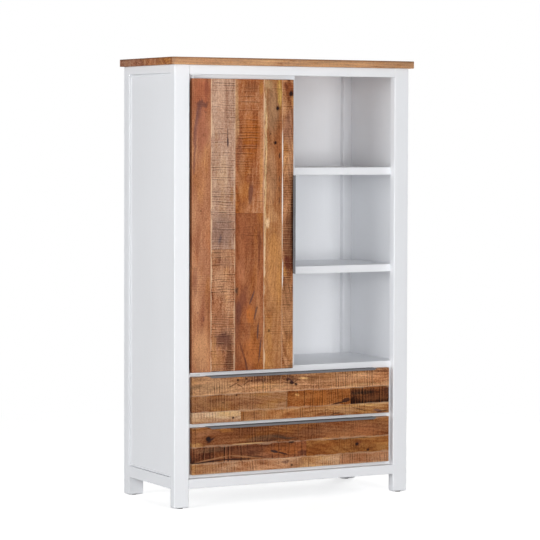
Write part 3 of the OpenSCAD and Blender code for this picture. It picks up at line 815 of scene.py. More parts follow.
class Bench:
    """Modelling moves that the cabinet's pieces share."""

    @staticmethod
    def clear() -> None:
        """Deselects everything, so that an operator acts on its own piece alone."""
        bpy.ops.object.select_all(action="DESELECT")

    @classmethod
    def take(cls, *pieces: Piece) -> None:
        """Selects some pieces and makes the first one active."""
        cls.clear()
        for piece in pieces:
            piece.select_set(True)
        bpy.context.view_layer.objects.active = pieces[0]

    @classmethod
    def block(cls, name: str, low: Vector, high: Vector) -> Piece:
        """Adds a block from its low corner to its high corner.

        Args:
            name: Name of the piece.
            low: Lowest corner.
            high: Highest corner.

        Returns:
            The new piece, with its place in its mesh.
        """
        cls.clear()
        bpy.ops.mesh.primitive_cube_add(size=1.0, location=(low + high) / 2)
        piece = bpy.context.active_object
        piece.name = piece.data.name = name
        piece.scale = high - low
        cls.take(piece)
        bpy.ops.object.transform_apply(location=True, rotation=True, scale=True)
        return piece

    @staticmethod
    def _pick(piece: Piece, kind: str, test: PartTest) -> int:
        """Selects the parts that pass a test, in edit mode, and returns their number."""
        mesh = bmesh.from_edit_mesh(piece.data)
        parts = {"VERT": mesh.verts, "EDGE": mesh.edges, "FACE": mesh.faces}[kind]
        found = [part for part in parts if test(part)]
        for part in found:
            part.select_set(True)
        bmesh.update_edit_mesh(piece.data)
        return len(found)

    @classmethod
    @contextmanager
    def shaping(cls, piece: Piece, kind: str, test: PartTest | None = None) -> Iterator[int]:
        """Holds a piece in edit mode with some of its parts selected.

        Args:
            piece: The piece to shape.
            kind: What is selected: VERT, EDGE or FACE.
            test: Picks the parts. Without it everything is selected.

        Yields:
            The number of parts that the test picks.
        """
        cls.take(piece)
        bpy.ops.object.mode_set(mode="EDIT")
        try:
            bpy.ops.mesh.select_mode(type=kind)
            bpy.ops.mesh.select_all(action="DESELECT" if test else "SELECT")
            yield cls._pick(piece, kind, test) if test else 0
        finally:
            bpy.ops.object.mode_set(mode="OBJECT")

    @staticmethod
    def square(edge: Edge) -> bool:
        """Tells whether an edge is still a sharp corner of about 90 degrees."""
        return len(edge.link_faces) == 2 and edge.calc_face_angle(0.0) > SHARP

    @staticmethod
    def joins(edge: Edge, pair: tuple[Side, Side]) -> bool:
        """Tells whether an edge lies where two sides of a block meet."""
        return len(edge.link_faces) == 2 and all(
            max(face.normal.dot(side.normal) for face in edge.link_faces) > ALIGNED for side in pair)

    @classmethod
    def round_off(cls, piece: Piece, test: PartTest, radius: float, segments: int) -> None:
        """Rounds the edges that pass a test.

        Args:
            piece: The piece to round.
            test: Picks the edges.
            radius: Width of the rounding.
            segments: Number of its facets.
        """
        with cls.shaping(piece, "EDGE", test) as found:
            if found:
                bpy.ops.mesh.bevel(offset=radius, segments=segments, affect="EDGES", clamp_overlap=True)

    @classmethod
    def ease(cls, piece: Piece, radius: float, segments: int = 2) -> None:
        """Rounds every corner of a piece that is still sharp."""
        cls.round_off(piece, cls.square, radius, segments)

    @classmethod
    def ease_between(cls, piece: Piece, pairs: list[tuple[Side, Side]], radius: float,
                     segments: int = 3) -> None:
        """Rounds the sharp edges where given pairs of sides meet.

        Args:
            piece: The piece to round.
            pairs: The pairs of sides.
            radius: Width of the rounding.
            segments: Number of its facets.
        """
        cls.round_off(piece, lambda edge: cls.square(edge) and any(cls.joins(edge, pair) for pair in pairs),
                      radius, segments)

    @classmethod
    def cut(cls, piece: Piece, place: Vector, normal: Vector) -> None:
        """Cuts every face that a plane crosses, and keeps both sides."""
        with cls.shaping(piece, "EDGE"):
            bpy.ops.mesh.bisect(plane_co=place, plane_no=normal, use_fill=False, clear_inner=False,
                                clear_outer=False)

    @classmethod
    def pull(cls, piece: Piece, test: PartTest, travel: Vector) -> None:
        """Extrudes the faces that pass a test.

        Args:
            piece: The piece to shape.
            test: Picks the faces.
            travel: How far and which way they go.
        """
        with cls.shaping(piece, "FACE", test):
            bpy.ops.mesh.extrude_region_move(TRANSFORM_OT_translate={"value": travel})

    @classmethod
    def carve(cls, piece: Piece, low: Vector, high: Vector) -> None:
        """Cuts a block's space out of a piece.

        Args:
            piece: The piece to shape.
            low: Lowest corner of the block.
            high: Its highest corner.
        """
        cutter = cls.block("cutter", low, high)
        cls.take(piece)
        modifier = piece.modifiers.new("carve", "BOOLEAN")
        modifier.operation = "DIFFERENCE"
        modifier.solver = "EXACT"
        modifier.object = cutter
        bpy.ops.object.modifier_apply(modifier=modifier.name)
        bpy.data.objects.remove(cutter, do_unlink=True)

    @classmethod
    def polish(cls, piece: Piece, degrees: float = 40.0) -> Piece:
        """Smooths the shading over roundings, keeps flat faces flat and returns the piece."""
        cls.take(piece)
        bpy.ops.object.shade_smooth_by_angle(angle=math.radians(degrees))
        modifier = piece.modifiers.new("even_normals", "WEIGHTED_NORMAL")
        modifier.keep_sharp = True
        bpy.ops.object.modifier_apply(modifier=modifier.name)
        return piece

    @classmethod
    def join(cls, name: str, pieces: list[Piece]) -> Piece:
        """Joins pieces into one, each with its own material.

        Args:
            name: Name of the joined piece.
            pieces: The pieces.

        Returns:
            The joined piece.
        """
        cls.take(*pieces)
        if len(pieces) > 1:
            bpy.ops.object.join()
        pieces[0].name = name
        return pieces[0]


def dress(piece: Piece, material: Material) -> None:
    """Gives a piece one material all over."""
    piece.data.materials.clear()
    piece.data.materials.append(material)


def stand_in(piece: Piece, node: str) -> None:
    """Puts a finished piece in the place of its CAD node.

    Args:
        piece: The finished piece, with its material.
        node: The node that it stands for.
    """
    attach(piece, frame["nodes"][node]["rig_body"])
    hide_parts(node)
    LOG.info("%s stands for %s, %d faces", piece.name, node, len(piece.data.polygons))


@dataclass
class Paintshop:
    """Makes each shared finish once and hands it out.

    Args:
        outer: Finish of the frame.
        inner: Finish of the panels inside, a paler copy of the white paint that stands for more light inside
            the bays: painted light.
    """

    outer: PaintFinish
    inner: PaintFinish
    _made: dict[str, Material] = field(default_factory=dict)

    def _once(self, name: str, make: Callable[[str], Material]) -> Material:
        """Returns a shared material, which is made when it is first asked for."""
        if name not in self._made:
            self._made[name] = make(name)
        return self._made[name]

    def painted(self, grain: Grain) -> Material:
        """Returns the white paint for the frame's boards that run one way."""
        return self._once(f"white_paint_{grain.name.lower()}", lambda name: self.outer.material(name, grain))

    def painted_inside(self, grain: Grain) -> Material:
        """Returns the paler paint for panels inside that run one way, brightened to paint in the light inside
        the bays.
        """
        return self._once(f"inner_paint_{grain.name.lower()}", lambda name: self.inner.material(name, grain))

    def coated(self, name: str, finish: MetalFinish | SoftFinish) -> Material:
        """Returns a shared metal, felt or plastic."""
        return self._once(name, finish.material)


ANTHRACITE = MetalFinish((0.185, 0.182, 0.190), 0.55, 0.0, 1600.0, 0.00006, 0.05)
ZINC = MetalFinish((0.62, 0.62, 0.61), 0.34, 1.0, 900.0, 0.00003)
BRASS = MetalFinish((0.72, 0.53, 0.26), 0.30, 1.0, 900.0, 0.00003)
WHITE_STEEL = MetalFinish((0.80, 0.81, 0.83), 0.40, 0.0, 1400.0, 0.00004)
CATCH_PLASTIC = SoftFinish((0.10, 0.10, 0.10), 0.55, 1200.0, 0.00004)
FELT = SoftFinish((0.045, 0.026, 0.016), 0.95, 1500.0, 0.0004)


@dataclass
class Carcass:
    """The white painted frame, its panels, boards and shelves.

    Args:
        shop: Where its paint comes from.
        corner_round: Rounding of the posts' long edges.
        foot_round: Rounding of the posts' lower edges.
        board_round: Rounding of rails and shelves.
        side_rail_round: Rounding of the side rails.
        thin_round: Rounding of panels and of the posts' upper ends.
        liner_round: Rounding of the spacers beside the drawers.
        panel_gap: Width of the groove round a side panel's field.
        panel_step: How far the field stands out of the groove.
        bead_width: Width of the bead round the field.
        bead_height: How far the bead stands out of the field.
        strip_width: Width of the strips that hold the shelf pins.
        strip_round: Rounding of these strips.
        pin_radius: Radius of a shelf pin.
        shelf_play: Room between a loose shelf and the posts.
    """

    shop: Paintshop
    corner_round: float = 0.0022
    foot_round: float = 0.0062
    board_round: float = 0.0014
    side_rail_round: float = 0.0007
    thin_round: float = 0.0006
    liner_round: float = 0.0012
    panel_gap: float = 0.0025
    panel_step: float = 0.003
    bead_width: float = 0.005
    bead_height: float = 0.0015
    strip_width: float = 0.030
    strip_round: float = 0.002
    pin_radius: float = 0.0025
    shelf_play: float = 0.001

    def build(self) -> None:
        """Builds every painted piece."""
        for node in ("front_post_left", "front_post_right", "rear_post_left", "rear_post_right"):
            self._post(node)
        for node in ("front_rail_bottom", "rear_rail_bottom", "drawer_rail", "door_lintel", "floor_board"):
            self._plain(node, Grain.LEVEL, self.board_round)
        for node in ("side_rail_top_left", "side_rail_top_right", "side_rail_bottom_left",
                     "side_rail_bottom_right"):
            self._plain(node, Grain.DEEP, self.side_rail_round)
        self._place(self._side_panel(Side.RIGHT), "side_panel_right", Grain.UPRIGHT)
        left = Bench.join("side_panel_left_wood", [self._side_panel(Side.LEFT), *self._pin_strips()])
        self._place(left, "side_panel_left", Grain.UPRIGHT)
        back = Bench.block("back_panel_wood", *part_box("back_panel"))
        Bench.ease(back, self.thin_round)
        # The back panel takes the brightened copy of the white paint, which paints in light.
        dress(Bench.polish(back), self.shop.painted_inside(Grain.UPRIGHT))
        stand_in(back, "back_panel")
        self._liners()
        for node in ("deck_board", "bay_shelf_upper", "bay_shelf_lower", "cupboard_shelf_upper",
                     "cupboard_shelf_lower"):
            self._notched(node)
        for node in ("front_rail_top", "rear_rail_top", "divider"):
            self._bored(node)

    def _place(self, piece: Piece, node: str, grain: Grain) -> None:
        """Paints a piece white and puts it in its node's place."""
        dress(piece, self.shop.painted(grain))
        stand_in(piece, node)

    def _post(self, node: str) -> None:
        """Models a post with rounded foot and corners, and a rear one with the back panel's groove."""
        piece = Bench.block(f"{node}_wood", *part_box(node))
        foot = Side.BOTTOM.meeting(Side.LEFT, Side.RIGHT, Side.FRONT, Side.BACK)
        Bench.ease_between(piece, foot, self.foot_round, 5)
        Bench.round_off(piece, lambda edge: Bench.square(edge) and self._upright(edge), self.corner_round, 3)
        Bench.ease(piece, self.thin_round, 1)
        Bench.polish(piece)
        if node.startswith("rear"):
            panel_low, panel_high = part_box("back_panel")
            Bench.carve(piece, panel_low, panel_high + Vector((0.0, 0.0, SPARE)))
        self._place(piece, node, Grain.UPRIGHT)

    @staticmethod
    def _upright(edge: Edge) -> bool:
        """Tells whether an edge stands upright."""
        along = (edge.verts[1].co - edge.verts[0].co).normalized()
        return abs(along.z) > ALIGNED

    def _plain(self, node: str, grain: Grain, rounding: float) -> None:
        """Models a straight rail or board with eased edges."""
        piece = Bench.block(f"{node}_wood", *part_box(node))
        sides = (Side.LEFT, Side.RIGHT) if grain is Grain.DEEP else (Side.FRONT, Side.BACK)
        edges = [pair for side in sides for pair in side.meeting(Side.TOP, Side.BOTTOM)]
        Bench.ease_between(piece, edges, rounding, 2)
        self._place(Bench.polish(piece), node, grain)

    def _side_panel(self, outside: Side) -> Piece:
        """Models a side panel: a groove round a raised field with a bead on its edge.

        Args:
            outside: The side that shows.

        Returns:
            The panel, without any pin strips.
        """
        node = f"side_panel_{outside.name.lower()}"
        low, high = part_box(node)
        out = outside.normal
        height = self.panel_step + self.bead_height
        if outside is Side.LEFT:
            low.x += height
            high.x = self._panel_inside()
        else:
            high.x -= height
        piece = Bench.block(f"{node}_wood", low, high)
        face_x = low.x if outside is Side.LEFT else high.x

        def outward(face: Face) -> bool:
            """Tells whether a face is the panel's outward one."""
            return face.normal.dot(out) > ALIGNED and near(face.calc_center_median().x, face_x)

        with Bench.shaping(piece, "FACE", outward):
            for width, travel in ((self.panel_gap, height), (self.bead_width, -self.bead_height)):
                bpy.ops.mesh.inset(thickness=width, depth=0.0)
                bpy.ops.mesh.extrude_region_move(TRANSFORM_OT_translate={"value": out * travel})
        Bench.ease(piece, self.thin_round)
        return Bench.polish(piece)

    @staticmethod
    def _panel_inside() -> float:
        """Returns where the left side panel's inner face lies, which is as thick as the right one."""
        right_low, right_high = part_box("side_panel_right")
        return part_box("side_panel_left")[0].x + right_high.x - right_low.x

    def _pin_strips(self) -> list[Piece]:
        """Models the two upright strips on the left side panel that hold the shelf pins."""
        pin_low, pin_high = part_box("shelf_pins")
        bottom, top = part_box("deck_board")[1].z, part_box("side_rail_top_left")[0].z
        strips = []
        for name, middle in (("front", pin_low.y + self.pin_radius), ("rear", pin_high.y - self.pin_radius)):
            low = Vector((self._panel_inside(), middle - self.strip_width / 2, bottom))
            high = Vector((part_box("side_panel_left")[1].x, middle + self.strip_width / 2, top))
            strip = Bench.block(f"pin_strip_{name}", low, high)
            Bench.ease_between(strip, Side.RIGHT.meeting(Side.FRONT, Side.BACK), self.strip_round)
            strips.append(Bench.polish(strip))
        return strips

    def _liners(self) -> None:
        """Models the two spacers beside the drawers."""
        low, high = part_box("drawer_liners")
        rail_low, rail_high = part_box("drawer_rail")
        pieces = []
        for side, start, end in (("left", low.x, rail_low.x), ("right", rail_high.x, high.x)):
            piece = Bench.block(
                f"drawer_liner_{side}", Vector((start, low.y, low.z)), Vector((end, high.y, high.z)))
            Bench.ease(piece, self.liner_round)
            pieces.append(Bench.polish(piece))
        self._place(Bench.join("drawer_liners_wood", pieces), "drawer_liners", Grain.DEEP)

    def _notched(self, node: str) -> None:
        """Models a board that is cut out round the posts it meets."""
        low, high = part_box(node)
        piece = Bench.block(f"{node}_wood", low, high)
        play = self.shelf_play if node.startswith("cupboard") else 0.0
        for post in ("front_post_left", "front_post_right", "rear_post_left", "rear_post_right"):
            post_low, post_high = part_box(post)
            cut_low = Vector((post_low.x - SPARE, post_low.y - SPARE, low.z - SPARE))
            cut_high = Vector((post_high.x + SPARE, post_high.y + SPARE, high.z + SPARE))
            if post.endswith("left"):
                cut_high.x = post_high.x + play
            else:
                cut_low.x = post_low.x - play
            if post.startswith("front"):
                cut_high.y = post_high.y + play
            else:
                cut_low.y = post_low.y - play
            if all(cut_low[i] < high[i] - HAIR and cut_high[i] > low[i] + HAIR for i in (0, 1)):
                Bench.carve(piece, cut_low, cut_high)
        Bench.ease_between(piece, Side.FRONT.meeting(Side.TOP, Side.BOTTOM), self.board_round)
        self._place(Bench.polish(piece), node, Grain.LEVEL)

    def _bored(self, node: str) -> None:
        """Models a board whose holes for screws or pins are cut from its own solid."""
        piece = bpy.data.objects.new(f"{node}_wood", frame["nodes"][node].data.copy())
        bpy.context.scene.collection.objects.link(piece)
        with Bench.shaping(piece, "VERT"):
            bpy.ops.mesh.remove_doubles(threshold=1e-6)
            bpy.ops.mesh.dissolve_limited(angle_limit=math.radians(1.0))
        low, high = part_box(node)
        grain = Grain.UPRIGHT if node == "divider" else Grain.LEVEL

        def on_side(edge: Edge, axis: int) -> bool:
            """Tells whether an edge lies in one of the two sides across an axis."""
            return any(all(near(vertex.co[axis], end[axis]) for vertex in edge.verts) for end in (low, high))

        def long_edge(edge: Edge) -> bool:
            """Tells whether an edge is one of the board's four long ones."""
            return all(on_side(edge, axis) for axis in range(3) if axis != grain.along) and Bench.square(edge)

        Bench.round_off(piece, long_edge, self.board_round, 2)
        self._place(Bench.polish(piece), node, grain)


def axis_of(direction: Vector) -> int:
    """Returns the number of the axis that a direction follows."""
    return max(range(3), key=lambda i: abs(direction[i]))


@dataclass
class FoldedPull:
    """Handle folded from sheet, over the edge of a front.

    Args:
        node: The handle's node.
        along: Direction of its length.
        over: Direction from the front's edge to the flange that lies on it.
        shop: Where its coat comes from.
        sheet: Thickness of the sheet.
        lip: Width of the lip in front.
        leg: Width of the leg behind.
        taper: How much shorter the lip is at each end.
        fold: Outer rounding of the folds.
        burr: Rounding of the sheet's cut edges.
    """

    node: str
    along: Vector
    over: Vector
    shop: Paintshop
    sheet: float = 0.0015
    lip: float = 0.007
    leg: float = 0.014
    taper: float = 0.008
    fold: float = 0.0011
    burr: float = 0.0002

    def build(self) -> None:
        """Models the flange, folds the lip and the leg and rounds the folds."""
        low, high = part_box(self.node)
        axis = axis_of(self.over)
        under = high[axis] - self.sheet
        flange_low = low.copy()
        flange_low[axis] = under
        piece = Bench.block(f"{self.node}_sheet", flange_low, high)
        front, back = low.y + self.sheet, high.y - self.sheet
        for y in (front, back):
            Bench.cut(piece, Vector((0.0, y, 0.0)), Vector((0.0, 1.0, 0.0)))

        def beneath(face: Face) -> bool:
            """Tells whether a face is on the flange's underside."""
            return face.normal.dot(self.over) < -ALIGNED and near(face.calc_center_median()[axis], under)

        def before(face: Face) -> bool:
            """Tells whether the lip grows from a face."""
            return beneath(face) and face.calc_center_median().y < front

        def behind(face: Face) -> bool:
            """Tells whether the leg grows from a face."""
            return beneath(face) and face.calc_center_median().y > back

        Bench.pull(piece, before, -self.over * self.lip)
        Bench.pull(piece, behind, -self.over * self.leg)
        run = axis_of(self.along)
        for end, inward in ((low[run], self.taper), (high[run], -self.taper)):
            self._slant(piece, end, inward, under - self.lip / 2, front)
        self._round_folds(piece, axis, high[axis], (low.y, high.y))
        Bench.ease(piece, self.burr, 1)
        dress(Bench.polish(piece), self.shop.coated("anthracite_coat", ANTHRACITE))
        stand_in(piece, self.node)

    def _slant(self, piece: Piece, end: float, inward: float, below: float, front: float) -> None:
        """Slants one end of the lip.

        Args:
            piece: The sheet.
            end: Where the lip ends, along its run.
            inward: How far its free corners move.
            below: The height, or the place across, that they lie under.
            front: Where the lip's back lies.
        """
        axis, run = axis_of(self.over), axis_of(self.along)

        def free(vertex: bmesh.types.BMVert) -> bool:
            """Tells whether a corner is on the lip's free edge, at this end."""
            place = vertex.co
            return place.y < front + HAIR and place[axis] < below and near(place[run], end)

        travel = Vector(NOWHERE)
        travel[run] = inward
        with Bench.shaping(piece, "VERT", free):
            bpy.ops.transform.translate(value=travel)

    def _round_folds(self, piece: Piece, axis: int, top: float, folds: tuple[float, float]) -> None:
        """Rounds the outer edge of both folds."""

        def on_fold(edge: Edge) -> bool:
            """Tells whether an edge is the outer edge of a fold."""
            return any(
                all(near(vertex.co[axis], top) and near(vertex.co.y, fold) for vertex in edge.verts)
                for fold in folds)

        Bench.round_off(piece, on_fold, self.fold, 4)


@dataclass
class NaturalBoard:
    """One board of natural wood with worn edges.

    Args:
        name: Name of the piece.
        low: Its lowest corner.
        high: Its highest corner.
        grain: Which way its fibres run.
        finish: Its look.
        worn: Pairs of sides whose edge is well rounded.
        recess: How far its face lies behind the solid's face.
        worn_round: Rounding of those edges.
        joint_round: Rounding of the other edges.
    """

    name: str
    low: Vector
    high: Vector
    grain: Grain
    finish: BoardFinish
    worn: list[tuple[Side, Side]]
    recess: float = 0.0
    worn_round: float = 0.0018
    joint_round: float = 0.0006

    def build(self) -> Piece:
        """Models the board and returns it, dressed."""
        piece = Bench.block(self.name, self.low + Vector((0.0, self.recess, 0.0)), self.high)
        if self.worn:
            Bench.ease_between(piece, self.worn, self.worn_round)
        Bench.ease(piece, self.joint_round)
        Bench.polish(piece)
        dress(piece, self.finish.material(f"{self.name}_grain", self.grain, self.low, self.high))
        return piece


@dataclass
class BoardRun:
    """One plank of the door or one row of a drawer's front: lengths that meet end to end.

    Args:
        node: Its node.
        place: Its number in the front, from the left or from below.
        runs: How many runs the front has.
        grain: Which way its fibres run.
        finishes: Look of each length, from the bottom up or from left to right.
        joints: Distance of the cross joints from the start of the run.
        butt_gap: Open joint where two lengths meet.
        depth_step: How far the faces of neighbouring lengths lie apart.
    """

    node: str
    place: int
    runs: int
    grain: Grain
    finishes: tuple[BoardFinish, ...]
    joints: tuple[float, ...] = ()
    butt_gap: float = 0.0002
    depth_step: float = 0.00018

    def build(self) -> None:
        """Builds the lengths and joins them in the node's place."""
        low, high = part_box(self.node)
        axis = self.grain.along
        cuts = [low[axis] + joint for joint in self.joints]
        starts = [low[axis], *cuts]
        ends = [*(cut - self.butt_gap for cut in cuts), high[axis]]
        pieces = []
        for step, finish in enumerate(self.finishes):
            base, head = low.copy(), high.copy()
            base[axis], head[axis] = starts[step], ends[step]
            board = NaturalBoard(f"{self.node}_length_{step + 1}", base, head, self.grain, finish,
                                 self._worn(step), recess=self._recess(step))
            pieces.append(board.build())
        stand_in(Bench.join(f"{self.node}_wood", pieces), self.node)

    def _worn(self, step: int) -> list[tuple[Side, Side]]:
        """Returns the worn edges of a length: those that lie on the front's own edges."""
        ends, flanks = (Side.BOTTOM, Side.TOP), (Side.LEFT, Side.RIGHT)
        if self.grain is Grain.LEVEL:
            ends, flanks = flanks, ends
        reached = {ends[0]: step == 0, ends[1]: step == len(self.finishes) - 1,
                   flanks[0]: self.place == 0, flanks[1]: self.place == self.runs - 1}
        return Side.FRONT.meeting(*(side for side, reaches in reached.items() if reaches))

    def _recess(self, step: int) -> float:
        """Returns how far back a length's face lies: none, one or two steps, unlike its neighbours."""
        beat = 2 * self.place + step if self.grain is Grain.UPRIGHT else self.place + 2 * step
        return self.depth_step * (beat % 3)


@dataclass
class TopSlab:
    """The top, glued from four natural boards.

    Args:
        finishes: Look of each board, from front to back.
        worn_round: Rounding of the top's own edges.
        joint_round: Rounding where two boards meet.
    """

    finishes: dict[str, BoardFinish]
    worn_round: float = 0.0020
    joint_round: float = 0.0004

    def build(self) -> None:
        """Builds the four boards."""
        for index, (node, finish) in enumerate(self.finishes.items()):
            worn = Side.LEFT.meeting(Side.TOP, Side.BOTTOM) + Side.RIGHT.meeting(Side.TOP, Side.BOTTOM)
            if index == 0:
                worn += Side.FRONT.meeting(Side.TOP, Side.BOTTOM, Side.LEFT, Side.RIGHT)
            if index == len(self.finishes) - 1:
                worn += Side.BACK.meeting(Side.TOP, Side.BOTTOM)
            board = NaturalBoard(f"{node}_wood", *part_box(node), Grain.FLAT, finish, worn,
                                 worn_round=self.worn_round, joint_round=self.joint_round)
            stand_in(board.build(), node)


@dataclass
class PlankDoor:
    """The door: five planks, two of them in two lengths, on battens.

    Args:
        shop: Where its metals come from.
        planks: Look of each length of plank, by node, from the bottom up.
        joints: Height of the cross joints above the door's lower edge, by node.
        batten: Look of the battens.
        batten_round: Rounding of the battens.
    """

    shop: Paintshop
    planks: dict[str, tuple[BoardFinish, ...]]
    joints: dict[str, tuple[float, ...]]
    batten: BoardFinish
    batten_round: float = 0.003

    def build(self) -> None:
        """Builds planks, battens and handle."""
        for index, (node, finishes) in enumerate(self.planks.items()):
            joints = self.joints.get(node, ())
            BoardRun(node, index, len(self.planks), Grain.UPRIGHT, finishes, joints).build()
        self._battens()
        FoldedPull("door_handle", Vector((0.0, 0.0, 1.0)), Vector((1.0, 0.0, 0.0)), self.shop).build()

    def _battens(self) -> None:
        """Builds the two battens."""
        low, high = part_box("door_battens")
        middle = (low.z + high.z) / 2
        heights = [vertex.co.z for vertex in frame["nodes"]["door_battens"].data.vertices]
        lower_top = max(z for z in heights if z < middle)
        upper_base = min(z for z in heights if z > middle)
        worn = Side.BACK.meeting(Side.TOP, Side.BOTTOM, Side.LEFT, Side.RIGHT)
        pieces = []
        for name, base, head in (("lower", low.z, lower_top), ("upper", upper_base, high.z)):
            board = NaturalBoard(
                f"door_batten_{name}", Vector((low.x, low.y, base)), Vector((high.x, high.y, head)),
                Grain.LEVEL, replace(self.batten, seed=self.batten.seed + base), worn,
                worn_round=self.batten_round)
            pieces.append(board.build())
        stand_in(Bench.join("door_battens_wood", pieces), "door_battens")


@dataclass
class Drawer:
    """A drawer: a front of three rows of boards, a box and a handle.

    Args:
        name: upper or lower.
        shop: Where its metals come from.
        rows: Look of each length in the bottom, middle and top row, from left to right.
        joints: Distance of the cross joints from the front's left end, by row.
        box_wood: Look of the box.
        groove_in: Depth of the grooves that hold the bottom.
        runner_in: Depth of the grooves for the runner strips.
        runner_play: Room in them above a strip.
        runner_clear: Room in them below a strip.
        rim_round: Rounding of the sides' upper edges.
        panel_round: Rounding of back and bottom.
        lip: Width of the handle's lip.
    """

    name: str
    shop: Paintshop
    rows: dict[str, tuple[BoardFinish, ...]]
    joints: dict[str, tuple[float, ...]]
    box_wood: BoardFinish
    groove_in: float = 0.006
    runner_in: float = 0.007
    runner_play: float = 0.0003
    runner_clear: float = 0.001
    rim_round: float = 0.002
    panel_round: float = 0.0008
    lip: float = 0.005

    def build(self) -> None:
        """Builds the front, the box and the handle."""
        for index, (row, finishes) in enumerate(self.rows.items()):
            node, joints = f"{self.name}_drawer_board_{row}", self.joints.get(row, ())
            BoardRun(node, index, len(self.rows), Grain.LEVEL, finishes, joints).build()
        for side in (Side.LEFT, Side.RIGHT):
            self._side(side)
        self._panel("back", Grain.LEVEL)
        self._panel("bottom", Grain.FLAT)
        FoldedPull(f"{self.name}_drawer_handle", Vector((1.0, 0.0, 0.0)), Vector((0.0, 0.0, 1.0)),
                   self.shop, lip=self.lip).build()

    def _side(self, side: Side) -> None:
        """Builds a drawer side with its runner groove and bottom groove."""
        node = f"{self.name}_drawer_side_{side.name.lower()}"
        low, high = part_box(node)
        bottom_low, bottom_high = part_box(f"{self.name}_drawer_bottom")
        strips = frame["nodes"]["runner_strips"].data.vertices
        heights = [vertex.co.z for vertex in strips if low.z < vertex.co.z < high.z]
        strip_low, strip_high = min(heights), max(heights)
        piece = Bench.block(f"{node}_wood", low, high)
        outer, inner = (low.x, high.x) if side is Side.LEFT else (high.x, low.x)
        inward = 1.0 if side is Side.LEFT else -1.0

        def groove(mouth: float, depth: float, base: float, head: float) -> None:
            """Cuts a groove from end to end, from its mouth to a depth."""
            start, end = sorted((mouth - math.copysign(SPARE, depth), mouth + depth))
            Bench.carve(piece, Vector((start, low.y - SPARE, base)), Vector((end, high.y + SPARE, head)))

        groove(outer, inward * self.runner_in, strip_low - self.runner_clear, strip_high + self.runner_play)
        groove(inner, -inward * self.groove_in, bottom_low.z, bottom_high.z)
        Bench.ease_between(piece, Side.TOP.meeting(Side.LEFT, Side.RIGHT), self.rim_round)
        self._place(piece, node, Grain.DEEP)

    def _panel(self, part: str, grain: Grain) -> None:
        """Builds the drawer's back or bottom."""
        node = f"{self.name}_drawer_{part}"
        piece = Bench.block(f"{node}_wood", *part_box(node))
        Bench.ease(piece, self.panel_round)
        self._place(piece, node, grain)

    def _place(self, piece: Piece, node: str, grain: Grain) -> None:
        """Gives a part of the box its wood and puts it in its node's place."""
        dress(Bench.polish(piece), self.box_wood.material(f"{node}_grain", grain, *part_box(node)))
        stand_in(piece, node)


@dataclass
class Ironwork:
    """Small fittings: hinges, catch, pins, runners, glides and screws.

    Args:
        shop: Where the finishes come from.
        runner_wood: Look of the runner strips.
    """

    shop: Paintshop
    runner_wood: BoardFinish

    def build(self) -> None:
        """Dresses every fitting. Each keeps its solid."""
        looks = {
            "hinge_plates": self.shop.coated("white_steel_coat", WHITE_STEEL),
            "hinge_bushes": self.shop.coated("turned_brass", BRASS),
            "strike_plate": self.shop.coated("zinc_steel", ZINC),
            "top_screws": self.shop.coated("zinc_steel", ZINC),
            "shelf_pins": self.shop.coated("zinc_steel", ZINC),
            "magnet_catch": self.shop.coated("catch_plastic", CATCH_PLASTIC),
            "foot_glides": self.shop.coated("pressed_felt", FELT),
            "runner_strips": self.runner_wood.material(
                "runner_strips_grain", Grain.DEEP, *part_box("runner_strips")),
        }
        for node, material in looks.items():
            dress(frame["nodes"][node], material)
            LOG.info("%s keeps its solid", node)


@dataclass(frozen=True)
class Lamp:
    """Square lamp that faces the cabinet.

    Args:
        name: Its name.
        place: Its place.
        size: Length of its sides.
        power: Its power in watts.
    """

    name: str
    place: Triple
    size: float
    power: float

    def build(self, aim: Vector) -> None:
        """Adds the lamp, turned towards a point."""
        data = bpy.data.lights.new(self.name, "AREA")
        data.shape = "SQUARE"
        data.size = self.size
        data.energy = self.power
        lamp = bpy.data.objects.new(self.name, data)
        lamp.location = self.place
        lamp.rotation_euler = (aim - lamp.location).to_track_quat("-Z", "Y").to_euler()
        bpy.context.scene.collection.objects.link(lamp)


LAMPS = (
    Lamp("front_lamp", (0.6, -6.0, 0.75), 1.4, 88.0),
    Lamp("high_lamp", (0.6, -5.0, 3.2), 2.4, 28.0),
    Lamp("camera_lamp", (-3.4, -5.4, 1.2), 2.4, 120.0),
    Lamp("side_lamp", (-5.2, -1.6, 1.7), 2.6, 152.0),
    Lamp("rear_lamp", (4.4, 3.6, 1.8), 2.6, 165.0),
)


